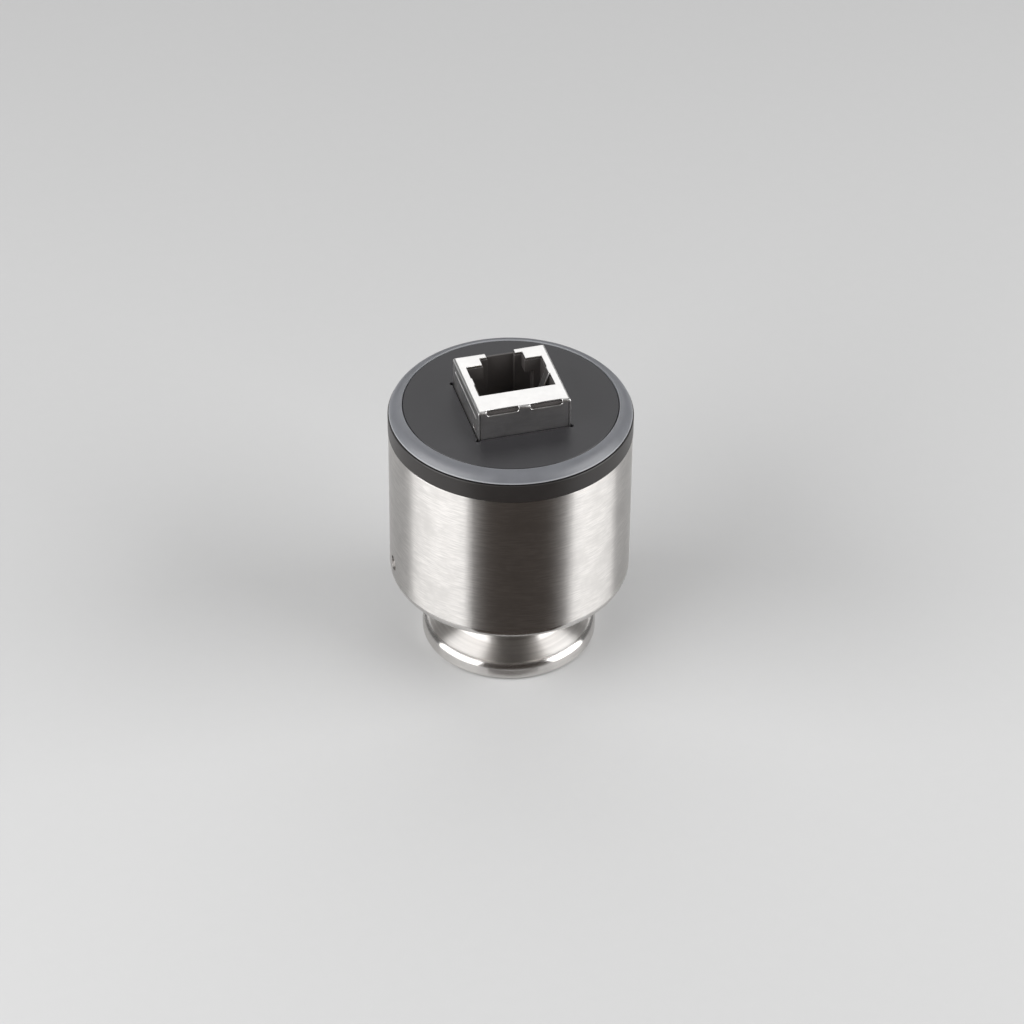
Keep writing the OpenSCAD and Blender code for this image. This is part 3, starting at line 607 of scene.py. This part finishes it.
FINISHES: tuple[Finish, ...] = (
    LinedMetal("brushed_housing", (0.66, 0.64, 0.62), 0.32, lines_per_mm=5.0, run_mm=2.4, contrast=0.11,
               depth_mm=0.003, spread=0.08, smear=0.02, stain=0.0, anisotropy=1.0, polish=Polish.BELOW,
               polish_mm=15.2, polished=0.18),
    LinedMetal("turned_steel", (0.71, 0.69, 0.67), 0.44, lines_per_mm=6.0, run_mm=20.0, contrast=0.08,
               depth_mm=0.0012, spread=0.06, smear=0.02, stain=0.0, anisotropy=1.0, polish=Polish.BEYOND,
               polish_mm=14.0, polished=0.22),
    LinedMetal("screen_steel", (0.55, 0.54, 0.53), 0.34, Grain.ALONG_X),
    LinedMetal("spring_steel", (0.25, 0.24, 0.23), 0.4),
    LinedMetal("plate_metal", (0.5, 0.49, 0.47), 0.36),
    LinedMetal("nickel_wire", (0.58, 0.56, 0.52), 0.32, Grain.ALONG_Z),
    LinedMetal("tungsten_wire", (0.3, 0.3, 0.32), 0.36, Grain.ALONG_Z),
    LinedMetal("contact_gold", (0.86, 0.62, 0.25), 0.24, Grain.ALONG_Z, contrast=0.04, depth_mm=0.002),
    LinedMetal("collar_aluminium", (0.72, 0.73, 0.74), 0.34, lines_per_mm=4.0, run_mm=40.0),
    LinedMetal("screw_steel", (0.4, 0.39, 0.38), 0.3),
    LinedMetal("spacer_brass", (0.74, 0.56, 0.27), 0.3, Grain.ALONG_Z),
    LinedMetal("capacitor_can", (0.76, 0.76, 0.76), 0.28, Grain.ALONG_Z),
    LinedMetal("shield_sheet", (0.81, 0.8, 0.79), 0.3, Grain.LEVEL, lines_per_mm=4.0, run_mm=1.6,
               contrast=0.04, depth_mm=0.002, spread=0.06, smear=0.12, stain=0.04),
    FrostedPlastic("ring_plastic", (0.139, 0.143, 0.156), 0.42, grain_per_mm=12.0, grain_mm=0.003,
                   patches_per_mm=0.3, contrast=0.07, spread=0.1, coat=0.12, scatter=0.2),
    MouldedPlastic("band_plastic", (0.021, 0.0185, 0.0175), 0.36),
    MouldedPlastic("disc_black", (0.018, 0.0173, 0.02), 0.4, grain_per_mm=7.0, grain_mm=0.008),
    MouldedPlastic("jack_plastic", (0.065, 0.059, 0.057), 0.36, grain_mm=0.004),
    MouldedPlastic("connector_plastic", (0.02, 0.02, 0.02), 0.45),
    MouldedPlastic("chip_black", (0.03, 0.03, 0.03), 0.55, grain_per_mm=14.0),
    MouldedPlastic("seal_rubber", (0.015, 0.015, 0.015), 0.6, grain_mm=0.01),
    MouldedPlastic("resistor_ceramic", (0.2, 0.32, 0.5), 0.3, coat=0.4),
    MouldedPlastic("light_lens", (0.85, 0.82, 0.7), 0.2, coat=0.6, scatter=0.3),
    CircuitBoard("board_green", (0.012, 0.13, 0.06), 0.3),
    SealingGlass("bead_glass", (0.3, 0.5, 0.4), 0.1),
)
FINISH_OF: dict[str, Finish] = {finish.slot: finish for finish in FINISHES}
SLOT_OF: dict[str, str] = {p["node"]: p["material_slot"] for p in frame["record"]["subparts"]}


@dataclass(frozen=True)
class Corner:
    """One corner of a half section.

    Attributes:
        r: Distance from the axis.
        z: Height.
        round: Radius of the round on the corner.
        segments: Number of steps in that round.
    """

    r: float
    z: float
    round: float = 0.0
    segments: int = 1

    def reach(self, before: "Corner", after: "Corner") -> float:
        """Length that the round takes from each of the two sides that meet here.

        Args:
            before: The corner that comes before this one.
            after: The corner that comes after it.

        Returns:
            The length.
        """
        come = Vector((self.r - before.r, self.z - before.z))
        go = Vector((after.r - self.r, after.z - self.z))
        return self.round * math.tan(come.angle(go) / 2)


def turned(section: list[Corner]) -> BMesh:
    """A closed half section with its corners rounded, spun about the gauge's axis.

    Args:
        section: Corners in order round the section.

    Returns:
        The closed mesh.
    """
    bm = bmesh.new()
    verts = [bm.verts.new((c.r, 0.0, c.z)) for c in section]
    bm.faces.new(verts)
    for i, (vert, corner) in enumerate(zip(verts, section)):
        if corner.round:
            reach = corner.reach(section[i - 1], section[(i + 1) % len(section)])
            bmesh.ops.bevel(
                bm, geom=[vert], offset=reach, offset_type="OFFSET", segments=corner.segments,
                profile=0.5, affect="VERTICES", material=-1,
            )
    bmesh.ops.delete(bm, geom=bm.faces[:], context="FACES_ONLY")
    bmesh.ops.spin(
        bm, geom=bm.verts[:] + bm.edges[:], cent=(0, 0, 0), axis=(0, 0, 1), angle=math.tau,
        steps=ROUND_STEPS, use_merge=True,
    )
    bmesh.ops.remove_doubles(bm, verts=bm.verts, dist=MERGE)
    bmesh.ops.recalc_face_normals(bm, faces=bm.faces)
    return bm


def softened(node: str, width: float) -> BMesh:
    """A copy of a CAD node with its sharp edges rounded.

    Args:
        node: Name of the node.
        width: Width of the round.

    Returns:
        The closed mesh.
    """
    bm = bmesh.new()
    bm.from_mesh(frame["nodes"][node].data)
    bmesh.ops.remove_doubles(bm, verts=bm.verts, dist=MERGE)
    bmesh.ops.dissolve_limit(bm, angle_limit=FLAT, verts=bm.verts, edges=bm.edges)
    sharp = [e for e in bm.edges if len(e.link_faces) == 2 and e.calc_face_angle() > SHARP]
    bmesh.ops.bevel(
        bm, geom=sharp, offset=width, offset_type="OFFSET", segments=EDGE_STEPS, profile=0.5,
        affect="EDGES", material=-1,
    )
    return bm


def placed(bm: BMesh, name: str, material: Material | None = None) -> Object:
    """Puts a mesh into the scene.

    Args:
        bm: The mesh, which is freed.
        name: Name of the object.
        material: Its material, if it shows.

    Returns:
        The object.
    """
    mesh = bpy.data.meshes.new(name)
    bm.to_mesh(mesh)
    bm.free()
    if material is not None:
        mesh.materials.append(material)
    thing = bpy.data.objects.new(name, mesh)
    bpy.context.scene.collection.objects.link(thing)
    return thing


def finished(bm: BMesh, name: str, node: str) -> Object:
    """Makes a mesh a piece of the gauge that stands for a CAD node.

    Args:
        bm: The mesh, which is freed.
        name: Name of the piece.
        node: The CAD node that it stands for, whose finish it takes.

    Returns:
        The piece.
    """
    for face in bm.faces:
        face.smooth = True
    piece = placed(bm, name, FINISH_OF[SLOT_OF[node]].material())
    piece.data.set_sharp_from_angle(angle=SHARP)
    normals = piece.modifiers.new("even_normals", "WEIGHTED_NORMAL")
    normals.keep_sharp = True
    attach(piece, BODY)
    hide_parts(node)
    return piece


@dataclass
class Flange:
    """The turned flange with its neck, and the screen and snap ring in its port.

    Attributes:
        rim_height: Height at which the clamp cone meets the rim.
        cone_angle: Slope of the clamp cone.
        rim_round: Round where the clamp cone runs into the rim.
        foot_round: Round on the rim's lower edge.
        seat_radius: Radius of the seat for a centring ring.
        seat_depth: Depth of that seat.
        neck_radius: Radius of the neck.
        neck_round: Round where the cone runs into the neck.
        grip_depth: Depth of the groove that the set screw bears in.
        grip_room: Room in that groove above and below the screw.
        port_radius: Radius of the port behind the seat.
        port_top: Height at which the port ends.
        snap_depth: Depth of the snap ring's groove.
        chamber_radius: Radius of the measuring chamber.
        plate_z: Height of the step that carries the feedthrough plate.
        edge: Round on small edges.
        screen_edge: Round on the edges of the screen.
        snap_edge: Round on the edges of the snap ring.
    """

    rim_height: float = 3 * MM
    cone_angle: float = math.radians(15)
    rim_round: float = 1.2 * MM
    foot_round: float = 0.8 * MM
    seat_radius: float = 8.6 * MM
    seat_depth: float = 3 * MM
    neck_radius: float = 10 * MM
    neck_round: float = 1 * MM
    grip_depth: float = 0.5 * MM
    grip_room: float = 0.3 * MM
    port_radius: float = 8 * MM
    port_top: float = 5.2 * MM
    snap_depth: float = 0.4 * MM
    chamber_radius: float = 7 * MM
    plate_z: float = 18.6 * MM
    edge: float = 0.15 * MM
    screen_edge: float = 0.06 * MM
    snap_edge: float = 0.08 * MM

    def section(self) -> list[Corner]:
        """The flange's half section.

        Returns:
            Its corners, from the seat's mouth outwards and up.
        """
        low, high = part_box("flange_tube")
        snap_low, snap_high = (corner.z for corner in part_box("snap_ring"))
        screw_low, screw_high = (corner.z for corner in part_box("set_screw"))
        grip_low, grip_high = screw_low - self.grip_room, screw_high + self.grip_room
        rise = (high.x - self.neck_radius) * math.tan(self.cone_angle)
        grip_r = self.neck_radius - self.grip_depth
        snap_r = self.port_radius + self.snap_depth
        return [
            Corner(self.seat_radius, low.z, self.edge, 2),
            Corner(high.x, low.z, self.foot_round, 8),
            Corner(high.x, self.rim_height, self.rim_round, 10),
            Corner(self.neck_radius, self.rim_height + rise, self.neck_round, 8),
            Corner(self.neck_radius, grip_low),
            Corner(grip_r, grip_low),
            Corner(grip_r, grip_high),
            Corner(self.neck_radius, grip_high),
            Corner(self.neck_radius, high.z, self.edge, 2),
            Corner(self.port_radius, high.z, self.edge, 2),
            Corner(self.port_radius, self.plate_z),
            Corner(self.chamber_radius, self.plate_z),
            Corner(self.chamber_radius, self.port_top),
            Corner(self.port_radius, self.port_top),
            Corner(self.port_radius, snap_high),
            Corner(snap_r, snap_high),
            Corner(snap_r, snap_low),
            Corner(self.port_radius, snap_low),
            Corner(self.port_radius, self.seat_depth, self.edge, 2),
            Corner(self.seat_radius, self.seat_depth),
        ]

    def build(self) -> list[Object]:
        """Models and dresses the three pieces.

        Returns:
            The flange, the screen and the snap ring.
        """
        return [
            finished(turned(self.section()), "turned_flange", "flange_tube"),
            finished(softened("inlet_screen", self.screen_edge), "perforated_screen", "inlet_screen"),
            finished(softened("snap_ring", self.snap_edge), "open_snap_ring", "snap_ring"),
        ]


@dataclass
class Housing:
    """The brushed steel cup and the set screw in its side.

    Attributes:
        wall: Thickness of the wall.
        floor: Thickness of the floor.
        mouth_radius: Radius of the hole that the neck goes through.
        lower_round: Round on the lower edge.
        inner_round: Round in the lower corner inside.
        edge: Round on the upper edge and the mouth.
        screw_gap: Gap between the set screw and its hole.
        screw_edge: Round on the edges of the set screw.
    """

    wall: float = 1.2 * MM
    floor: float = 1.5 * MM
    mouth_radius: float = 10.1 * MM
    lower_round: float = 2 * MM
    inner_round: float = 0.8 * MM
    edge: float = 0.15 * MM
    screw_gap: float = 0.1 * MM
    screw_edge: float = 0.12 * MM

    def section(self) -> list[Corner]:
        """The cup's half section.

        Returns:
            Its corners, from the mouth outwards and up.
        """
        low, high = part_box("housing_cup")
        inside = high.x - self.wall
        return [
            Corner(self.mouth_radius, low.z, self.edge, 2),
            Corner(high.x, low.z, self.lower_round, 12),
            Corner(high.x, high.z, self.edge, 2),
            Corner(inside, high.z, self.edge, 2),
            Corner(inside, low.z + self.floor, self.inner_round, 4),
            Corner(self.mouth_radius, low.z + self.floor),
        ]

    def pierce(self, cup: Object) -> None:
        """Cuts the hole over the set screw through the cup's wall.

        Args:
            cup: The finished cup.
        """
        low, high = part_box("set_screw")
        start, end = -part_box("housing_cup")[1].x - self.wall, high.x
        middle = Vector(((start + end) / 2, 0, (low.z + high.z) / 2))
        radius = (high.z - low.z) / 2 + self.screw_gap
        bm = bmesh.new()
        bmesh.ops.create_cone(
            bm, cap_ends=True, segments=64, radius1=radius, radius2=radius, depth=end - start,
            matrix=Matrix.Translation(middle) @ Matrix.Rotation(math.pi / 2, 4, "Y"),
        )
        drill = placed(bm, "drill")
        cut = cup.modifiers.new("screw_hole", "BOOLEAN")
        cut.object = drill
        cut.operation = "DIFFERENCE"
        cut.solver = "EXACT"
        cup.modifiers.move(len(cup.modifiers) - 1, 0)
        with bpy.context.temp_override(object=cup, active_object=cup):
            bpy.ops.object.modifier_apply(modifier=cut.name)
        bpy.data.objects.remove(drill)
        cup.data.set_sharp_from_angle(angle=SHARP)

    def build(self) -> list[Object]:
        """Models and dresses the two pieces.

        Returns:
            The cup and the set screw.
        """
        cup = finished(turned(self.section()), "brushed_cup", "housing_cup")
        self.pierce(cup)
        return [cup, finished(softened("set_screw", self.screw_edge), "hexagon_set_screw", "set_screw")]


@dataclass
class Cap:
    """The black band, the grey light ring and the cover disc round the jack.

    Attributes:
        band_wall: Thickness of the band's wall.
        lip_radius: Outside radius of the lip in the housing.
        lip_wall: Thickness of that lip.
        ledge: Height of the band's inner ledge over the housing.
        band_edge: Round on the band's edges.
        ring_width: Width of the ring's sloping face.
        ring_bulge: Radius of that face's bulge.
        bulge_steps: Number of steps in the bulge.
        shadow_gap: Height of the gap between ring and band.
        shadow_depth: Depth of that gap.
        plug_radius: Radius of the ring's part inside the band.
        plug_gap: Gap between that part and the band's ledge.
        guide_radius: Outside radius of the light guide.
        guide_wall: Thickness of the light guide.
        ring_edge: Round on the ring's edges.
        jack_gap: Gap between the jack and the cut-out.
        relief: Radius of the relief at each corner of the cut-out.
        disc_edge: Width of the chamfer on the disc's edges.
    """

    band_wall: float = 1.22 * MM
    lip_radius: float = 19.3 * MM
    lip_wall: float = 1.1 * MM
    ledge: float = 1.2 * MM
    band_edge: float = 0.14 * MM
    ring_width: float = 2.3 * MM
    ring_bulge: float = 2.8 * MM
    bulge_steps: int = 12
    shadow_gap: float = 0.15 * MM
    shadow_depth: float = 0.6 * MM
    plug_radius: float = 19.35 * MM
    plug_gap: float = 0.1 * MM
    guide_radius: float = 18.15 * MM
    guide_wall: float = 1.5 * MM
    ring_edge: float = 0.18 * MM
    jack_gap: float = 0.1 * MM
    relief: float = 0.35 * MM
    disc_edge: float = 0.1 * MM

    def band_section(self) -> list[Corner]:
        """The band's half section.

        Returns:
            Its corners, from the lower outer edge up and inwards.
        """
        low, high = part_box("cap_band")
        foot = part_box("housing_cup")[1].z
        inner = high.x - self.band_wall
        lip_inner = self.lip_radius - self.lip_wall
        return [
            Corner(high.x, foot, self.band_edge, 3),
            Corner(high.x, high.z, self.band_edge, 3),
            Corner(inner, high.z),
            Corner(inner, foot + self.ledge),
            Corner(lip_inner, foot + self.ledge),
            Corner(lip_inner, low.z),
            Corner(self.lip_radius, low.z),
            Corner(self.lip_radius, foot),
        ]

    def bulge(self, low: Vector, high: Vector) -> list[Corner]:
        """Points of the ring's face between its foot and its top, both left out.

        Args:
            low: Radius and height of the foot.
            high: Radius and height of the top.

        Returns:
            Points on the arc through both that bulges outwards.
        """
        chord = high - low
        inward = Vector((-chord.y, chord.x)).normalized()
        depth = math.sqrt(self.ring_bulge**2 - chord.length_squared / 4)
        centre = (low + high) / 2 + inward * depth
        start, end = (math.atan2((p - centre).y, (p - centre).x) for p in (low, high))
        angles = (start + (end - start) * i / self.bulge_steps for i in range(1, self.bulge_steps))
        return [
            Corner(centre.x + self.ring_bulge * math.cos(a), centre.y + self.ring_bulge * math.sin(a))
            for a in angles
        ]

    def ring_section(self) -> list[Corner]:
        """The ring's half section.

        Returns:
            Its corners, from its foot up, over its face and down its light guide.
        """
        low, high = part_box("light_ring")
        band_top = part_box("cap_band")[1].z
        foot = band_top + self.shadow_gap
        inner = high.x - self.ring_width
        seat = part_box("cover_disc")[0].z
        guide_inner = self.guide_radius - self.guide_wall
        plug_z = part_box("housing_cup")[1].z + self.ledge + self.plug_gap
        gap_r = high.x - self.shadow_depth
        return [
            Corner(high.x, foot, self.ring_edge, 4),
            *self.bulge(Vector((high.x, foot)), Vector((inner, high.z))),
            Corner(inner, high.z, self.ring_edge, 4),
            Corner(inner, seat),
            Corner(guide_inner, seat),
            Corner(guide_inner, low.z),
            Corner(self.guide_radius, low.z),
            Corner(self.guide_radius, plug_z),
            Corner(self.plug_radius, plug_z),
            Corner(self.plug_radius, band_top),
            Corner(gap_r, band_top),
            Corner(gap_r, foot),
        ]

    def cut_out(self, bm: BMesh, z: float) -> None:
        """Adds the outline of the jack's cut-out, with a round relief at each corner.

        Args:
            bm: The mesh that gets the outline.
            z: Height of the outline.
        """
        low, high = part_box("jack_shield")
        gap = Vector((self.jack_gap, self.jack_gap))
        small, large = low.xy - gap, high.xy + gap
        corners = [(large.x, small.y), (large.x, large.y), (small.x, large.y), (small.x, small.y)]
        ends = []
        for i, (x, y) in enumerate(corners):
            start = Matrix.Rotation(i * math.pi / 2, 3, "Z") @ Vector((-self.relief, 0, 0))
            vert = bm.verts.new(Vector((x, y, z)) + start)
            arc = bmesh.ops.spin(
                bm, geom=[vert], cent=(x, y, z), axis=(0, 0, 1), angle=math.radians(270), steps=18
            )
            last = next(e for e in arc["geom_last"] if isinstance(e, BMVert))
            ends.append((vert, last))
        for i, (_, last) in enumerate(ends):
            bm.edges.new((last, ends[(i + 1) % len(ends)][0]))

    def disc(self) -> BMesh:
        """The cover disc with its cut-out and chamfered upper edges.

        Returns:
            The closed mesh.
        """
        low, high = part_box("cover_disc")
        shoulder = high.z - self.disc_edge
        bm = bmesh.new()
        bmesh.ops.create_circle(
            bm, cap_ends=False, radius=high.x, segments=ROUND_STEPS,
            matrix=Matrix.Translation((0, 0, shoulder)),
        )
        self.cut_out(bm, shoulder)
        bmesh.ops.triangle_fill(bm, use_beauty=True, edges=bm.edges[:])
        bmesh.ops.recalc_face_normals(bm, faces=bm.faces)
        if bm.faces[:][0].normal.z < 0:
            bmesh.ops.reverse_faces(bm, faces=bm.faces)
        bmesh.ops.inset_region(
            bm, faces=bm.faces[:], thickness=self.disc_edge, depth=self.disc_edge, use_boundary=True,
            use_even_offset=True,
        )
        rims = [e for e in bm.edges if e.is_boundary]
        walls = bmesh.ops.extrude_edge_only(bm, edges=rims)["geom"]
        lower = [v for v in walls if isinstance(v, BMVert)]
        bmesh.ops.translate(bm, verts=lower, vec=(0, 0, low.z - shoulder))
        bmesh.ops.triangle_fill(bm, use_beauty=True, edges=[e for e in bm.edges if e.is_boundary])
        bmesh.ops.recalc_face_normals(bm, faces=bm.faces)
        return bm

    def build(self) -> list[Object]:
        """Models and dresses the three pieces.

        Returns:
            The band, the ring and the disc.
        """
        return [
            finished(turned(self.band_section()), "black_band", "cap_band"),
            finished(turned(self.ring_section()), "grey_light_ring", "light_ring"),
            finished(self.disc(), "black_cover", "cover_disc"),
        ]


@dataclass
class Jack:
    """The folded shield with its plastic insert and contact wires.

    Attributes:
        sheet_edge: Round on the edges of the sheet.
        plastic_edge: Round on the edges of the insert.
        wire_edge: Round on the ends of the wires.
    """

    sheet_edge: float = 0.07 * MM
    plastic_edge: float = 0.06 * MM
    wire_edge: float = 0.03 * MM

    def build(self) -> list[Object]:
        """Models and dresses the three pieces.

        Returns:
            The shield, the insert and the wires.
        """
        return [
            finished(softened("jack_shield", self.sheet_edge), "folded_shield", "jack_shield"),
            finished(softened("jack_insert", self.plastic_edge), "moulded_insert", "jack_insert"),
            finished(softened("jack_contacts", self.wire_edge), "contact_wires", "jack_contacts"),
        ]


class InnerWorks:
    """The pieces inside, which keep their CAD form."""

    def build(self) -> list[Object]:
        """Gives every CAD node that still shows the finish of its slot.

        Returns:
            Those nodes.
        """
        shown = [o for o in frame["nodes"].values() if not o.hide_render]
        for node in shown:
            for slot in node.material_slots:
                slot.material = FINISH_OF[SLOT_OF[node.name]].material()
        return shown


@dataclass
class Softbox:
    """A square studio lamp that faces the gauge.

    Attributes:
        name: Name of the lamp.
        turn: Direction from the gauge, in degrees to the right of the camera.
        rise: Direction above the horizon, in degrees.
        away: Distance from the gauge.
        width: Width of the lamp.
        height: Height of the lamp.
        radiance: Brightness of its face.
    """

    name: str
    turn: float
    rise: float
    away: float
    width: float
    height: float
    radiance: float


@dataclass
class Studio:
    """Camera, floor, lamps and world.

    Attributes:
        target: The point that the camera looks at.
        azimuth: Direction of the camera round the gauge, in degrees, with nought at -Y.
        elevation: Direction of the camera above the horizon, in degrees.
        distance: Distance of the camera from its target.
        roll: Turn of the camera about its own axis, in degrees.
        lens: Focal length in millimetres, on a sensor of 36 mm.
        floor_size: Half the side of the floor.
        floor_drop: Height by which the gauge stands clear of the floor.
        floor_color: Colour of the floor.
        floor_contrast: Share by which its fibres are lighter or darker.
        floor_fibres: Fibres across each millimetre.
        world_light: Brightness of the world.
        card_color: Colour of the dark card, which the metal shows as a painted dark reflection.
        card_edges: Edges of the card's image in the housing, in degrees to the right of the camera.
        card_parts: Folds of each part of the card, by distance from the housing's outside and height; the
            first part, under the housing's overhang, is a painted contact shadow in reflections.
        lamps: The softboxes.
    """

    target: tuple[float, float, float] = (0.359 * MM, -0.102 * MM, 24.895 * MM)
    azimuth: float = -15.9
    elevation: float = 37.873
    distance: float = 665.79 * MM
    roll: float = 0.553
    lens: float = 137.18
    floor_size: float = 4.0
    floor_drop: float = 0.05 * MM
    floor_color: Color = (0.54, 0.54, 0.54)
    floor_contrast: float = 0.01
    floor_fibres: float = 0.4
    world_light: float = 0.14
    card_color: Color = (0.058, 0.049, 0.044)
    card_edges: tuple[float, float] = (-18.5, 28.0)
    card_parts: tuple[tuple[tuple[float, float], ...], ...] = (
        # Painted contact shadow under the housing's overhang, seen only in reflections
        ((-4 * MM, 0.1 * MM), (-1.5 * MM, 0.1 * MM)),
        # Dark sheet on the floor and standing up in front, a painted dark reflection in the metal
        ((4 * MM, 0.1 * MM), (300 * MM, 0.1 * MM), (300 * MM, 400.1 * MM)),
    )
    lamps: tuple[Softbox, ...] = (
        Softbox("left_softbox", turn=-63, rise=24, away=0.55, width=0.622, height=0.54, radiance=4.6),
        Softbox("right_softbox", turn=76.6, rise=24, away=0.55, width=0.494, height=0.54, radiance=4.6),
        Softbox("back_softbox", turn=180, rise=40, away=0.7, width=0.8, height=0.5, radiance=1.18),
        Softbox("top_softbox", turn=0, rise=84, away=0.8, width=0.5, height=0.5, radiance=0.4),
    )

    def toward(self, turn: float, rise: float) -> Vector:
        """Direction from the gauge, by degrees to the right of the camera and above the horizon."""
        a, e = math.radians(self.azimuth + turn), math.radians(rise)
        return Vector((math.sin(a) * math.cos(e), -math.cos(a) * math.cos(e), math.sin(e)))

    def facing(self, turn: float, rise: float, away: float) -> Matrix:
        """Place of something that faces the gauge.

        Args:
            turn: Its direction, in degrees to the right of the camera.
            rise: Its direction above the horizon, in degrees.
            away: Its distance from the camera's target.

        Returns:
            Its matrix, with its Z axis away from the gauge.
        """
        way = self.toward(turn, rise)
        aim = way.to_track_quat("Z", "Y").to_matrix().to_4x4()
        return Matrix.Translation(Vector(self.target) + way * away) @ aim

    def camera(self) -> Object:
        """Sets up the camera at the photograph's angle.

        Returns:
            The camera.
        """
        data = bpy.data.cameras.new("camera")
        data.sensor_width = 36.0
        data.lens = self.lens
        data.clip_start, data.clip_end = 0.01, 20.0
        camera = bpy.data.objects.new("camera", data)
        bpy.context.scene.collection.objects.link(camera)
        roll = Matrix.Rotation(math.radians(self.roll), 4, "Z")
        camera.matrix_world = self.facing(0, self.elevation, self.distance) @ roll
        bpy.context.scene.camera = camera
        return camera

    def floor(self) -> Object:
        """Lays the pale floor that the gauge stands on.

        Returns:
            The floor.
        """
        graph = Graph("floor_paper")
        x, y, _ = graph.place()
        fibres = graph.noise((x * self.floor_fibres, y * self.floor_fibres, 0.0))
        paper = graph.mix(*tones(self.floor_color, self.floor_contrast), fibres)
        graph.surface({"Base Color": paper, "Roughness": 0.9, "Specular IOR Level": 0.1})
        bm = bmesh.new()
        bmesh.ops.create_grid(bm, x_segments=1, y_segments=1, size=self.floor_size)
        bmesh.ops.translate(bm, verts=bm.verts, vec=(0, 0, -self.floor_drop))
        floor = placed(bm, "floor", graph.material)
        return floor

    def dark_card(self) -> Object:
        """Sets a dark card in front of the gauge, which shows only as a reflection, as painted shade in
        the metal.

        Returns:
            The card.
        """
        graph = Graph("card_black")
        graph.surface({"Base Color": (*self.card_color, 1.0), "Roughness": 1.0, "Specular IOR Level": 0.0})
        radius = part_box("housing_cup")[1].x
        bm = bmesh.new()
        for part in self.card_parts:
            folds = []
            for along, height in part:
                # A round mirror turns a ray by twice the angle of the place where they meet
                points = (
                    self.toward(turn, 0) * radius + self.toward(2 * turn, 0) * along
                    for turn in self.card_edges
                )
                folds.append([bm.verts.new((*p.xy, height)) for p in points])
            for near, far in zip(folds, folds[1:]):
                bm.faces.new((*near, *reversed(far)))
        card = placed(bm, "dark_card", graph.material)
        # Hidden from the camera, from diffuse light and from shadows, so the card only paints dark
        # reflections
        card.visible_camera = card.visible_diffuse = card.visible_shadow = False
        return card

    def lamp(self, box: Softbox) -> Object:
        """Sets up one softbox.

        Args:
            box: Its place, size and brightness.

        Returns:
            The lamp.
        """
        data = bpy.data.lights.new(box.name, "AREA")
        data.shape = "RECTANGLE"
        data.size, data.size_y = box.width, box.height
        data.energy = box.radiance * math.pi * box.width * box.height
        lamp = bpy.data.objects.new(box.name, data)
        bpy.context.scene.collection.objects.link(lamp)
        lamp.matrix_world = self.facing(box.turn, box.rise, box.away)
        lamp.visible_camera = False
        return lamp

    def world(self) -> World:
        """Sets a plain white world of low strength.

        Returns:
            The world.
        """
        world = bpy.data.worlds.new("studio")
        world.use_nodes = True
        background = world.node_tree.nodes["Background"]
        background.inputs["Color"].default_value = (1.0, 1.0, 1.0, 1.0)
        background.inputs["Strength"].default_value = self.world_light
        bpy.context.scene.world = world
        return world

    def build(self) -> list[Any]:
        """Sets up the whole studio.

        Returns:
            Camera, floor, card, lamps and world.
        """
        bpy.context.scene.view_settings.view_transform = "Standard"
        lamps = [self.lamp(box) for box in self.lamps]
        return [self.camera(), self.floor(), self.dark_card(), *lamps, self.world()]


def main() -> None:
    """Builds the gauge's looks and the studio round it, and reports each piece."""
    logging.basicConfig(level=logging.INFO, format="%(name)s: %(message)s")
    for assembly in (Flange(), Housing(), Cap(), Jack(), InnerWorks(), Studio()):
        for piece in assembly.build():
            LOG.info("%s: %s", type(assembly).__name__, piece.name)


if __name__ == "__main__":
    main()
